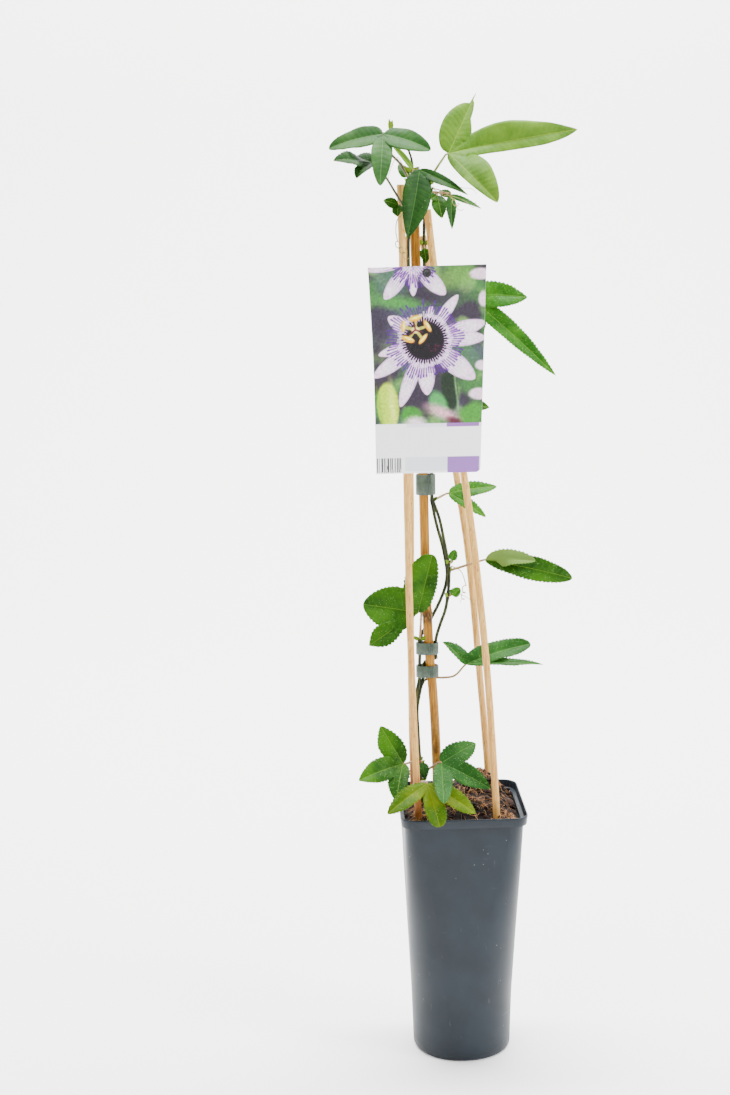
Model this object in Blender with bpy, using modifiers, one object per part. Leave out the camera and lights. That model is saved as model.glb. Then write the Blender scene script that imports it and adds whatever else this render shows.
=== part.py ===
"""Potted passion flower climber: a square-topped nursery pot, canes, twining stems, leaves and a picture label.

Standalone Blender 4.5 script. Metres, +Z up. The origin is the centre of the pot's base, and -Y is the front.
Points along stems, canes and leaves are given in millimetres, as (x, y, z) from that origin.
"""

import math
from collections import namedtuple

import bmesh
import bpy
from mathutils import Matrix, Vector, noise

MM = 0.001
GAP = 0.3 * MM  # between pieces that touch

# ---------------------------------------------------------------- driving dimensions

POT_HEIGHT = 222 * MM
POT_WALL = 1.2 * MM
POT_FLOOR = 2.0 * MM
RIM_HALF_WIDTH = 53.5 * MM
RIM_CORNER = 13.0 * MM
RIM_DEPTH = 8.0 * MM
POT_BODY = (  # height, half width and corner radius of the body: round at the foot, square at the top
    (0.0, 40.5, 39.7),
    (3.0, 42.2, 41.3),
    (50.0, 43.6, 41.0),
    (110.0, 46.2, 33.0),
    (165.0, 48.4, 21.0),
    (214.0, 50.2, 12.5),
)
CORNER_STEPS = 7
DRAIN_HOLES = 6
DRAIN_HOLE_RADIUS = 4.0 * MM
DRAIN_RING_RADIUS = 29.0 * MM

SUBSTRATE_EDGE = 211.0 * MM
SUBSTRATE_RISE = 14.0 * MM
SUBSTRATE_RINGS = (1.0, 0.93, 0.84, 0.7, 0.5, 0.25)
HEAP_CENTRE = (15.0 * MM, 28.0 * MM)
HEAP_HEIGHT = 18.0 * MM
HEAP_SPREAD = 13.0 * MM
LUMP_HEIGHT = 1.5 * MM
LUMP_SCALE = 90.0

CANE_RADIUS = 3.0 * MM
BAMBOO_RADIUS = 4.0 * MM
BAMBOO_NODE_HEIGHT = 0.384
CANES = {
    "cane_front_left": (
        (-34, -34, 130), (-38, -36, 218), (-41.5, -34, 310), (-43.5, -30, 400),
        (-44.2, -25, 488), (-45.2, -20.5, 600), (-45.6, -18, 679), (-46.6, -15, 741),
    ),
    "cane_front_right": (
        (31, -36, 130), (27.8, -36, 219), (20.9, -32, 336), (11.5, -28, 437),
        (2.5, -24.5, 507), (-10.5, -17, 600), (-20.2, -11, 678), (-24.8, -8, 721),
    ),
    "cane_back_right": (
        (32, 37, 130), (27.5, 36, 231), (20.7, 34, 318), (11, 30, 426),
        (0.5, 26, 499), (-14, 19, 600), (-24.8, 12, 679), (-27.5, 11, 700),
    ),
    "cane_back_left": (
        (-34, 34, 130), (-38, 38, 226), (-39.3, 34, 355), (-38.5, 30, 480),
        (-40, 18, 620), (-41, 9, 700),
    ),
}
BAMBOO = (
    (-17, 5, 110), (-19.8, 5, 254), (-22.4, 3.5, 315), (-25.6, 2, 356),
    (-28.2, 0.5, 420), (-29.4, 0, 495), (-33.9, 0, 678), (-34.6, 0, 718),
)

STEM_RADIUS = 1.1 * MM
STEMS = {
    "stem_a": (
        (-31, 4, 195), (-33, 4, 235), (-35.5, 3.5, 283), (-36, 3, 303), (-33, 4.2, 320),
        (-30.2, 4.6, 331), (-30.2, 4.6, 341.5), (-26.8, 8.6, 343.3), (-22.6, 8.2, 344.8),
        (-19.4, 5, 346.6), (-19.9, 2.3, 349.3), (-20.05, 2, 352), (-20.05, 2, 361),
        (-18.9, 0.5, 368), (-15.9, -2, 378.6), (-11.7, -5, 392), (-9.2, -6, 411),
        (-9, -6, 427), (-10.5, -6, 437), (-14, -5, 456), (-16.8, -4, 469), (-21.6, -2, 483),
        (-22.4, -1.7, 488.5), (-22.4, -1.7, 506), (-25, -7, 520), (-31, -8, 560),
        (-37, -7.5, 600), (-40, -6, 640), (-40, -4.5, 690), (-38.8, -3.4, 720),
        (-37, -2, 745), (-36, 1, 758), (-40, 2.5, 770), (-48, 3, 776), (-53, 2, 786),
    ),
    "stem_b": (
        (-31, -3, 195), (-33.5, -3, 235), (-37, -1.5, 283), (-38.5, -0.5, 303), (-36, 0.5, 320),
        (-33.9, 1.4, 331), (-33.9, 1.4, 341), (-33.6, 0.9, 351), (-33.6, 0.9, 361),
        (-32.6, 3.5, 365), (-29.5, 7.2, 371), (-25, 7.6, 377.5), (-21.6, 4.8, 384.5),
        (-16.7, 1.5, 395.5), (-12.5, 1.2, 406), (-10.6, 1.2, 414), (-10.2, 1, 424),
        (-13.5, 0.8, 443), (-18, 1, 460), (-21, 1.4, 474), (-22.4, 1.6, 486), (-22.4, 1.6, 506),
        (-24, 4.5, 525), (-26, 6.5, 560), (-26.5, 6, 600), (-26.8, 4, 650), (-27, 1, 697),
        (-26.5, 0.5, 716), (-24, -3, 728), (-22, -3.8, 738), (-22, -4, 749),
    ),
}
STEM_STEP = 16 * MM

CLIP_HALF_DEPTH = 4.5 * MM
CLIP_WALL = 1.0 * MM
CLIPS = {  # each band round the bamboo cane and the stems: its centre, half its width inside, and its height
    "clip_low": ((-27.2, 2.6, 336), 8.6, 10),
    "clip_middle": ((-27.2, 2, 356), 8.6, 10),
    "clip_high": ((-27.5, 0, 496.5), 7.2, 17),
}

LABEL_THICKNESS = 0.5 * MM
LABEL_HOLE = (-26.5, -22.7, 671.3)
LABEL_HOLE_RADIUS = 3.0 * MM
LABEL_LEAN = math.radians(2.06)  # the top edge leans back, against the canes
LABEL_LEFT = ((-73.8, 676.0), (-72.6, 652), (-71.6, 630), (-70.3, 598), (-69.7, 557), (-69.4, 510))
LABEL_RIGHT = ((12.6, 510.3), (14.8, 511.4), (15.6, 513.6), (17.0, 555), (19.3, 617), (20.3, 647), (21.5, 677.4))
TIE_RADIUS = 1.2 * MM
TIE_HEAD_RADIUS = 3.6 * MM
TIE_HEAD_THICKNESS = 1.6 * MM
TIE_WRAP = math.radians(285)
TIE_STEPS = 14

TENDRIL_RADIUS = 0.45 * MM
TENDRILS = {  # a lead-in, then a coil of that radius and number of turns that drifts on to the last point
    "tendril_cane": (((-45.5, -24, 717.5), (-50, -25.5, 713), (-51, -24.5, 704), (-49.5, -22.5, 696)), (-41, -21.9, 683), 1.6, 3.0),
    "tendril_top": (((-20.6, -5, 738), (-12, -9, 735), (-3, -12, 728)), (4, -13, 721), 1.8, 2.0),
    "tendril_middle": (((-6, -8, 428), (1, -11, 424), (5, -12, 412)), (3, -12, 398), 1.5, 2.5),
}

LEAF_THICKNESS = 0.8 * MM
PETIOLE_WIDTH = 1.6 * MM
PETIOLE_STEP = 13 * MM
LEAF_ROWS = (0.2, 0.48, 0.78, 1.0)  # rows from the sinus to each lobe's tip, as fractions

Lobe = namedtuple("Lobe", "tip half_width arch fold twist", defaults=(2, 12, 0))
Leaf = namedtuple("Leaf", "carrier node base facing joined lobes bends", defaults=((),))

# Each leaf grows from its carrier at the height of its node. Its lobes are listed clockwise as seen from the side
# that it faces, each with its tip, half its width, the arch of its midrib, and its fold and twist in degrees.
LEAVES = {
    "leaf_low_left": Leaf("stem_a", 257, (-50, -22, 262), (-0.2, -0.8, 0.5), 11, (
        Lobe((-57, -50, 238), 8, 5), Lobe((-88, -40, 254), 9, 5), Lobe((-68, -10, 292), 9.5, 4))),
    "leaf_low_front": Leaf("stem_b", 240, (-31, -44, 251), (0, -0.65, 0.75), 6, (
        Lobe((8, -58, 229), 8, 4), Lobe((-22, -64, 220), 8.5, 3), Lobe((-65, -60, 231), 8, 4))),
    "leaf_low_right": Leaf("stem_b", 246, (-17.5, -20, 261), (0, -0.8, 0.6), 9, (
        Lobe((13, -4, 273), 9.5, 4), Lobe((23, -30, 241), 8.5, 5), Lobe((-19, -66, 241), 7.5, 5))),
    "leaf_low_small": Leaf("stem_b", 255, (-33, -8, 258), (0.1, -0.9, 0.4), 0, (
        Lobe((-31, -17, 246), 4.5, 1.5),)),
    "leaf_lower_right": Leaf("stem_a", 326, (6, 0, 342), (0, -0.35, 0.93), 10, (
        Lobe((-14, 6, 360), 5, 3), Lobe((61, 4, 357), 9, 4, 12, 30), Lobe((69, -16, 344), 5, 3)),
        ((-24, 10, 328), (-13, 5, 329), (-4, 0, 332))),
    "leaf_middle_left": Leaf("stem_b", 363, (-35, -6, 389), (-0.1, -0.95, 0.25), 9, (
        Lobe((-77, -14, 363), 9, 4), Lobe((-81, 2, 395), 17, 5), Lobe((-23, -10, 439), 12, 3))),
    "leaf_middle_right": Leaf("stem_a", 424, (21, -14, 434), (0, -0.85, 0.5), 9, (
        Lobe((36, 6, 448), 8, 2), Lobe((92, -24, 419), 10, 6, 14, 25))),
    "leaf_under_label": Leaf("stem_b", 482, (-7, 10, 487), (0, -0.7, 0.7), 8, (
        Lobe((34, 22, 490), 7, 3), Lobe((23, 4, 467), 5, 3))),
    "leaf_upper_right": Leaf("stem_b", 640, (8, 18, 652), (0.2, -0.85, 0.4), 12, (
        Lobe((60, 24, 648), 11, 4), Lobe((82, 10, 584), 8, 5), Lobe((23, 14, 622), 6, 4))),
    "leaf_behind_label": Leaf("stem_b", 555, (8, 14, 561), (0, -0.8, 0.5), 0, (
        Lobe((27, 12, 558), 5.5, 2),)),
    "leaf_back_high": Leaf("stem_b", 655, (-36, 24, 662), (0, 0.8, 0.5), 10, (
        Lobe((-66, 30, 656), 7, 4), Lobe((-42, 48, 636), 8, 5), Lobe((-12, 38, 652), 7, 4))),
    "leaf_back_middle": Leaf("stem_b", 600, (-30, 26, 608), (0, 0.8, 0.5), 10, (
        Lobe((-60, 40, 590), 8, 4), Lobe((-27, 52, 574), 9, 5), Lobe((4, 38, 602), 8, 4))),
    "leaf_back_low": Leaf("stem_b", 545, (-20, 32, 550), (0, 0.8, 0.5), 10, (
        Lobe((-50, 38, 532), 7, 4), Lobe((-18, 56, 522), 8, 5), Lobe((9, 42, 548), 7, 4))),
    "leaf_top_right": Leaf("stem_b", 746, (-7, -6, 765), (-0.1, -0.95, 0.3), 22, (
        Lobe((18, 22, 814), 13, 2, 8), Lobe((99, 12, 783), 12, 5, 10), Lobe((28, -46, 726), 13, 4, 8))),
    "leaf_top_left": Leaf("stem_a", 742, (-60, -20, 780), (0, -0.75, 0.65), 8, (
        Lobe((-23, -30, 767), 10, 5), Lobe((-64, -48, 740), 7.5, 5), Lobe((-103, -8, 770), 10, 5)),
        ((-46, -9, 757), (-54, -13, 766))),
    "leaf_top_left_under": Leaf("stem_a", 722, (-69, -22, 758), (-0.3, -0.6, 0.75), 8, (
        Lobe((-82, -36, 746), 6, 4), Lobe((-100, -30, 760), 8, 4), Lobe((-84, 2, 762), 7, 3)),
        ((-41.5, -21, 722), (-47, -25, 728), (-58, -26, 746))),
    "leaf_top_hanging": Leaf("stem_b", 741, (-31.4, -20, 752), (0.2, -0.9, 0.4), 9, (
        Lobe((7, -20, 732), 4.5, 4, 16, -25), Lobe((-43, -44, 699), 11, 6))),
    "leaf_top_narrow": Leaf("stem_a", 751, (-36, -8, 753), (0.3, -0.8, 0.5), 0, (
        Lobe((-56, -12, 775), 3, 2, 25),)),
    "leaf_top_back": Leaf("stem_a", 746, (-40, 5, 747), (0.2, -0.9, 0.3), 0, (
        Lobe((-47, 10, 757), 4.5, 1.5),)),
    "leaf_top_small_left": Leaf("stem_a", 716, (-49, -25, 725), (-0.2, -0.9, 0.3), 3, (
        Lobe((-50, -30, 716), 4, 1), Lobe((-61, -31, 729), 4, 1)),
        ((-40.5, -20, 717), (-44.5, -23.5, 721))),
    "leaf_top_small_right": Leaf("stem_b", 731, (-17, -11, 732), (0, -0.95, 0.3), 3, (
        Lobe((-14, -23, 714), 6, 2), Lobe((-23, -17, 729), 3.5, 1))),
    "leaf_top_blue": Leaf("stem_b", 735, (-5, 1, 732), (0, -0.8, 0.6), 5, (
        Lobe((20, 4, 721), 4, 3), Lobe((-5, -9, 705), 4.5, 3), Lobe((-15, 6, 735), 4, 2))),
    "leaflet_stem": Leaf("stem_b", 693, (-27, -3, 690), (0, -1, 0.2), 0, (
        Lobe((-26, -6.5, 678), 4, 1),)),
    "leaflet_bow_low": Leaf("stem_a", 402, (-7, -9, 404), (0.2, -0.9, 0.2), 0, (
        Lobe((1, -11, 411), 3.5, 1),)),
    "leaflet_bow_high": Leaf("stem_a", 430, (-7, -10, 434), (0, -0.9, 0.3), 0, (
        Lobe((-3, -12, 444), 3, 1),)),
}

# ---------------------------------------------------------------- scene, collections and materials


def clear_scene():
    for obj in list(bpy.data.objects):
        bpy.data.objects.remove(obj, do_unlink=True)


def new_collection(name):
    collection = bpy.data.collections.new(name)
    bpy.context.scene.collection.children.link(collection)
    return collection


def new_material(name, colour, roughness):
    material = bpy.data.materials.new(name)
    material.use_nodes = True
    shader = material.node_tree.nodes["Principled BSDF"]
    shader.inputs["Base Color"].default_value = (*colour, 1)
    shader.inputs["Roughness"].default_value = roughness
    return material


def add_object(name, data, material, collection):
    obj = bpy.data.objects.new(name, data)
    collection.objects.link(obj)
    data.materials.append(material)
    return obj


def add_mesh(name, points, faces, material, collection):
    mesh = bpy.data.meshes.new(name)
    mesh.from_pydata(points, [], faces)
    mesh.update()
    return add_object(name, mesh, material, collection)


# ---------------------------------------------------------------- curves and tubes


def in_metres(points):
    return [Vector(point) * MM for point in points]


def smooth_path(points, step):
    """A Catmull-Rom curve through the points, sampled about every step."""
    ends = [2 * points[0] - points[1], *points, 2 * points[-1] - points[-2]]
    path = [points[0].copy()]
    for before, start, end, after in zip(ends, ends[1:], ends[2:], ends[3:]):
        pieces = max(1, round((end - start).length / step))
        for i in range(1, pieces + 1):
            t = i / pieces
            path.append(0.5 * (
                2 * start + (end - before) * t
                + (2 * before - 5 * start + 4 * end - after) * t ** 2
                + (3 * start - before - 3 * end + after) * t ** 3
            ))
    return path


def at_height(path, height):
    """The point of a rising path at this height."""
    for low, high in zip(path, path[1:]):
        if low.z <= height <= high.z:
            return low.lerp(high, (height - low.z) / (high.z - low.z))
    return path[-1]


def tube(name, path, radius, resolution, material, collection, swell=None):
    """A curve with filled caps along the path. swell gives the width at a point, as a factor."""
    curve = bpy.data.curves.new(name, "CURVE")
    curve.dimensions = "3D"
    curve.bevel_depth = radius
    curve.bevel_resolution = resolution
    curve.use_fill_caps = True
    spline = curve.splines.new("POLY")
    spline.points.add(len(path) - 1)
    for place, point in zip(spline.points, path):
        place.co = (*point, 1)
        place.radius = swell(point) if swell else 1
    return add_object(name, curve, material, collection)


def as_mesh(obj, collection):
    """The curve object made a mesh object, with its caps welded on."""
    graph = bpy.context.evaluated_depsgraph_get()
    mesh = bpy.data.meshes.new_from_object(obj.evaluated_get(graph))
    bm = bmesh.new()
    bm.from_mesh(mesh)
    bmesh.ops.remove_doubles(bm, verts=bm.verts, dist=0.00001)
    bm.to_mesh(mesh)
    bm.free()
    name = obj.name
    made = bpy.data.objects.new(name + "_mesh", mesh)
    collection.objects.link(made)
    made.matrix_world = obj.matrix_world
    bpy.data.objects.remove(obj, do_unlink=True)
    made.name = name
    return made


def as_cutter(obj):
    obj.hide_render = True
    obj.display_type = "WIRE"
    return obj


def combine(target, other, operation):
    modifier = target.modifiers.new(operation.title() + "_" + other.name, "BOOLEAN")
    modifier.operation = operation
    modifier.object = other


# ---------------------------------------------------------------- pot and substrate


def section(half_width, corner, height):
    """A square outline with round corners, anticlockwise seen from above."""
    points = []
    for quarter in range(4):
        turn = Matrix.Rotation(math.pi / 2 * quarter, 2)
        centre = turn @ Vector((half_width - corner, half_width - corner))
        for step in range(CORNER_STEPS + 1):
            angle = math.pi / 2 * (quarter + step / CORNER_STEPS)
            points.append((
                centre.x + corner * math.cos(angle),
                centre.y + corner * math.sin(angle),
                height,
            ))
    return points


def loft(rings):
    """Points and faces of a closed solid through rings of equal length, from the first cap to the last."""
    count = len(rings[0])
    points = [point for ring in rings for point in ring]
    faces = []
    for row in range(len(rings) - 1):
        for i in range(count):
            j = (i + 1) % count
            faces.append((row * count + i, row * count + j, (row + 1) * count + j, (row + 1) * count + i))
    faces.append(tuple(reversed(range(count))))
    faces.append(tuple(range((len(rings) - 1) * count, len(rings) * count)))
    return points, faces


def body_section(height, inset):
    """The pot body's outline at a height, moved in by inset."""
    for (low, half, corner), (high, next_half, next_corner) in zip(POT_BODY, POT_BODY[1:]):
        if height / MM <= high:
            share = (height / MM - low) / (high - low)
            half_width = (half + (next_half - half) * share) * MM
            corner_radius = (corner + (next_corner - corner) * share) * MM
            return section(half_width - inset, corner_radius - inset, height)
    raise ValueError("above the pot's body")


def make_pot(collection, cutters):
    outer = [body_section(height * MM, 0) for height, _, _ in POT_BODY]
    lip_foot = POT_HEIGHT - RIM_DEPTH
    rim = [
        section(RIM_HALF_WIDTH - 0.7 * MM, RIM_CORNER - 0.7 * MM, lip_foot),
        section(RIM_HALF_WIDTH, RIM_CORNER, POT_HEIGHT - 1.0 * MM),
        section(RIM_HALF_WIDTH - 0.4 * MM, RIM_CORNER - 0.4 * MM, POT_HEIGHT),
        section(RIM_HALF_WIDTH - POT_WALL, RIM_CORNER - POT_WALL, POT_HEIGHT),
        section(RIM_HALF_WIDTH - 0.4 * MM - POT_WALL, RIM_CORNER - 0.4 * MM - POT_WALL, lip_foot + POT_WALL),
    ]
    inner_heights = [height * MM for height, _, _ in POT_BODY[2:-1]]
    top = body_section(lip_foot, POT_WALL)
    step = [(x, y, lip_foot + POT_WALL) for x, y, _ in top]
    inner = [body_section(height, POT_WALL) for height in reversed(inner_heights)]
    inner.append(body_section(POT_FLOOR, POT_WALL))
    points, faces = loft(outer + rim + [step] + inner)
    material = new_material("pot_plastic", (0.055, 0.075, 0.09), 0.5)
    pot = add_mesh("pot", points, faces, material, collection)
    for i in range(DRAIN_HOLES):
        angle = 2 * math.pi * i / DRAIN_HOLES
        mesh = bpy.data.meshes.new("drain_cutter")
        bm = bmesh.new()
        bmesh.ops.create_cone(
            bm, cap_ends=True, segments=12, radius1=DRAIN_HOLE_RADIUS, radius2=DRAIN_HOLE_RADIUS, depth=10 * MM
        )
        bm.to_mesh(mesh)
        bm.free()
        cutter = as_cutter(add_object(f"drain_cutter_{i}", mesh, material, cutters))
        cutter.location = (DRAIN_RING_RADIUS * math.cos(angle), DRAIN_RING_RADIUS * math.sin(angle), 0)
        combine(pot, cutter, "DIFFERENCE")
    return pot


def substrate_height(x, y, share):
    """The surface inside the pot: low along the wall, where share is 1, domed, and heaped towards the back right."""
    dome = SUBSTRATE_RISE * (1 - share ** 3)
    away = (x - HEAP_CENTRE[0]) ** 2 + (y - HEAP_CENTRE[1]) ** 2
    heap = HEAP_HEIGHT * math.exp(-away / (2 * HEAP_SPREAD ** 2))
    lumps = LUMP_HEIGHT * noise.noise(Vector((x, y, 0)) * LUMP_SCALE)
    return SUBSTRATE_EDGE + dome + (heap + lumps) * min(1, 4 * (1 - share))


def make_substrate(collection):
    inset = POT_WALL + GAP
    heights = [POT_FLOOR + GAP] + [height * MM for height, _, _ in POT_BODY[2:-1]]
    rings = [body_section(height, inset) for height in heights]
    rings[0] = [(x, y, POT_FLOOR + GAP) for x, y, _ in body_section(POT_FLOOR, inset)]
    edge = body_section(SUBSTRATE_EDGE, inset)
    for share in SUBSTRATE_RINGS:
        rings.append([(x * share, y * share, substrate_height(x * share, y * share, share)) for x, y, _ in edge])
    points, faces = loft(rings)
    material = new_material("bark_and_coir", (0.075, 0.035, 0.02), 0.9)
    return add_mesh("substrate", points, faces, material, collection)


def bore_substrate(substrate, name, path, radius, cutters):
    """Makes room in the substrate for what stands in it."""
    foot = path[0] - (path[1] - path[0]).normalized() * GAP
    obj = tube(name + "_cutter", [foot, *path], radius + GAP, 2, substrate.data.materials[0], cutters)
    combine(substrate, as_cutter(as_mesh(obj, cutters)), "DIFFERENCE")


# ---------------------------------------------------------------- canes, stems, clips, label and tendrils


def bamboo_width(point):
    """The bamboo cane swells at its node."""
    return 1 + 0.12 * math.exp(-((point.z - BAMBOO_NODE_HEIGHT) / 0.004) ** 2)


def make_canes(collection):
    pale = new_material("pale_wood", (0.76, 0.6, 0.42), 0.65)
    brown = new_material("bamboo", (0.5, 0.22, 0.08), 0.5)
    paths = {name: smooth_path(in_metres(points), 70 * MM) for name, points in CANES.items()}
    for name, path in paths.items():
        tube(name, path, CANE_RADIUS, 2, pale, collection)
    paths["cane_bamboo"] = smooth_path(in_metres(BAMBOO), 40 * MM)
    tube("cane_bamboo", paths["cane_bamboo"], BAMBOO_RADIUS, 2, brown, collection, bamboo_width)
    return paths


def make_stems(collection):
    green = new_material("stem_green", (0.045, 0.07, 0.025), 0.55)
    paths = {name: smooth_path(in_metres(points), STEM_STEP) for name, points in STEMS.items()}
    for name, path in paths.items():
        tube(name, path, STEM_RADIUS, 1, green, collection)
    return paths


def flat_outline(name, outlines, thickness, material, collection):
    """A flat plate in its own XY plane from closed outlines, the later ones holes in the first."""
    curve = bpy.data.curves.new(name, "CURVE")
    curve.dimensions = "2D"
    curve.fill_mode = "BOTH"
    curve.extrude = thickness / 2
    for outline in outlines:
        spline = curve.splines.new("POLY")
        spline.points.add(len(outline) - 1)
        for place, (x, y) in zip(spline.points, outline):
            place.co = (x, y, 0, 1)
        spline.use_cyclic_u = True
    return add_object(name, curve, material, collection)


def circle(x, y, radius, steps):
    angles = [2 * math.pi * i / steps for i in range(steps)]
    return [(x + radius * math.cos(angle), y + radius * math.sin(angle)) for angle in angles]


def stadium(half_width, half_depth, steps):
    """An outline with straight long sides and half-round ends."""
    points = []
    for end in (1, -1):
        centre = end * (half_width - half_depth)
        for i in range(steps + 1):
            angle = -math.pi / 2 * end + math.pi * i / steps
            points.append((centre + half_depth * math.cos(angle), half_depth * math.sin(angle)))
    return points


def make_clips(collection):
    material = new_material("clip_plastic", (0.09, 0.14, 0.1), 0.45)
    for name, (centre, half_width, height) in CLIPS.items():
        outlines = (
            stadium(half_width * MM + CLIP_WALL, CLIP_HALF_DEPTH + CLIP_WALL, 6),
            stadium(half_width * MM, CLIP_HALF_DEPTH, 6),
        )
        clip = flat_outline(name, outlines, height * MM, material, collection)
        clip.location = Vector(centre) * MM


def make_label(collection):
    material = new_material("printed_card", (0.6, 0.55, 0.68), 0.4)
    hole = Vector(LABEL_HOLE) * MM
    outline = [(x * MM - hole.x, z * MM - hole.z) for x, z in LABEL_LEFT + LABEL_RIGHT]
    label = flat_outline(
        "label", (outline, circle(0, 0, LABEL_HOLE_RADIUS, 14)), LABEL_THICKNESS, material, collection
    )
    label.location = hole
    label.rotation_euler.x = math.pi / 2 - LABEL_LEAN


def make_tie(cane_path, collection, cutters):
    """A black tie: a round head before the label's hole, and a hook behind it round the front right cane."""
    material = new_material("tie_plastic", (0.01, 0.01, 0.012), 0.4)
    hole = Vector(LABEL_HOLE) * MM
    cane = at_height(cane_path, hole.z)
    front = hole.y - LABEL_THICKNESS / 2 - GAP - TIE_HEAD_THICKNESS
    radius = CANE_RADIUS + GAP + TIE_RADIUS
    start = math.atan2(hole.y + 6 * MM - cane.y, hole.x - cane.x)
    path = [Vector((hole.x, front + TIE_HEAD_THICKNESS / 2, hole.z)), Vector((hole.x, hole.y + 3 * MM, hole.z))]
    for i in range(TIE_STEPS + 1):
        angle = start + TIE_WRAP * i / TIE_STEPS
        path.append(Vector((cane.x + radius * math.cos(angle), cane.y + radius * math.sin(angle), hole.z)))
    tie = as_mesh(tube("label_tie", path, TIE_RADIUS, 1, material, collection), collection)
    head = bpy.data.meshes.new("tie_head")
    bm = bmesh.new()
    bmesh.ops.create_cone(
        bm, cap_ends=True, segments=16, radius1=TIE_HEAD_RADIUS, radius2=TIE_HEAD_RADIUS * 0.8,
        depth=TIE_HEAD_THICKNESS,
    )
    bm.to_mesh(head)
    bm.free()
    joined = as_cutter(add_object("tie_head", head, material, cutters))
    joined.location = (hole.x, front + TIE_HEAD_THICKNESS / 2, hole.z)
    joined.rotation_euler.x = math.pi / 2
    combine(tie, joined, "UNION")


def make_tendrils(collection):
    material = new_material("tendril_green", (0.2, 0.2, 0.05), 0.6)
    for name, (lead, end, radius, turns) in TENDRILS.items():
        lead = in_metres(lead)
        end = Vector(end) * MM
        steps = round(turns * 8)
        coil = []
        for i in range(1, steps + 1):
            angle = 2 * math.pi * turns * i / steps
            ring = Vector((math.cos(angle) - 1, 0.35 * math.sin(angle), math.sin(angle))) * radius * MM
            coil.append(lead[-1].lerp(end, i / steps) + ring)
        path = smooth_path(lead, 6 * MM) + coil
        tube(name, path, TENDRIL_RADIUS, 0, material, collection)


# ---------------------------------------------------------------- leaves


def midrib(base, facing, lobe, share):
    """The midrib's point and direction at a share of its length: a quadratic arch from the base to the tip."""
    tip = Vector(lobe.tip) * MM
    control = (base + tip) / 2 + facing * lobe.arch * MM
    point = base * (1 - share) ** 2 + control * 2 * share * (1 - share) + tip * share ** 2
    along = (control - base) * (1 - share) + (tip - control) * share
    return point, along.normalized()


def outline_width(lobe, share, start_width):
    """Half the blade's width, from start_width at share 0, through the lobe's half width, to the tip at share 1."""
    hump = math.sin(math.pi * share ** 0.75) ** 0.8
    return lobe.half_width * MM * hump + start_width * (1 - share) ** 3


def edge_point(leaf, lobe, base, facing, share, side, sinus):
    """A point on the lobe's edge. side is 1 for its left and -1 for its right; sinus is the web's end, if any."""
    point, along = midrib(base, facing, lobe, share)
    across = facing.cross(along).normalized() * side
    up = along.cross(facing.cross(along)).normalized()
    turn = Matrix.Rotation(math.radians(lobe.twist) * share, 3, along)
    fold = math.radians(lobe.fold) * min(1, 3 * share)
    outward = turn @ (across * math.cos(fold) + up * math.sin(fold))
    if sinus is None:
        return point + outward * outline_width(lobe, share, PETIOLE_WIDTH / 2)
    web_share = leaf.joined * MM / (Vector(lobe.tip) * MM - base).length
    web_point = midrib(base, facing, lobe, web_share)[0]
    free = (share - web_share) / (1 - web_share)
    blend = min(1, free * 2.5)
    outward = ((sinus - web_point).normalized() * (1 - blend) + outward * blend).normalized()
    return point + outward * outline_width(lobe, free, (sinus - web_point).length)


def leaf_shape(leaf, stem_path):
    """Points and faces of the open sheet of one leaf with its petiole."""
    base = Vector(leaf.base) * MM
    facing = Vector(leaf.facing).normalized()
    tips = [Vector(lobe.tip) * MM - base for lobe in leaf.lobes]
    middle = sum(tips, Vector()).normalized()
    across = facing.cross(middle).normalized()
    points = []

    def add(point):
        points.append(point)
        return len(points) - 1

    faces = []

    def span(first, second):
        """Faces between two rows of points, with those that share a point made triangles."""
        for a, b, c, d in zip(first, second, second[1:], first[1:]):
            faces.append(tuple(dict.fromkeys((a, b, c, d))))

    root = add(base)
    left_root = add(base + across * PETIOLE_WIDTH / 2)
    right_root = add(base - across * PETIOLE_WIDTH / 2)
    web_shares = [leaf.joined * MM / tip.length for tip in tips]
    webs = []
    for i in range(len(tips) - 1):
        one = midrib(base, facing, leaf.lobes[i], web_shares[i])[0]
        two = midrib(base, facing, leaf.lobes[i + 1], web_shares[i + 1])[0]
        webs.append(add((one + two) / 2))
    for i, lobe in enumerate(leaf.lobes):
        first = web_shares[i] or 0.07
        shares = [first + (1 - first) * row for row in LEAF_ROWS]
        tip = add(Vector(lobe.tip) * MM)
        ribs = [root, add(midrib(base, facing, lobe, first)[0])]
        ribs += [add(midrib(base, facing, lobe, share)[0]) for share in shares[:-1]] + [tip]
        for side, web in ((1, webs[i - 1] if i else None), (-1, webs[i] if i < len(webs) else None)):
            if web is None:
                edge = [left_root if side == 1 else right_root]
                edge.append(add(edge_point(leaf, lobe, base, facing, first, side, None)))
            else:
                edge = [root, web]
            sinus = None if web is None else points[web]
            edge += [add(edge_point(leaf, lobe, base, facing, share, side, sinus)) for share in shares[:-1]]
            edge.append(tip)
            span(*((edge, ribs) if side == 1 else (ribs, edge)))
    petiole = petiole_path(leaf, base, facing, middle, stem_path)
    rows = []
    width = across
    for here, there in zip(petiole[-2::-1], petiole[:0:-1]):
        along = (here - there).normalized()
        width = (width - along * width.dot(along)).normalized() * PETIOLE_WIDTH / 2
        rows.append((add(here + width), add(here), add(here - width)))
    for upper, lower in zip([(left_root, root, right_root), *rows], rows):
        span(upper, lower)
    return points, faces


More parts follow.
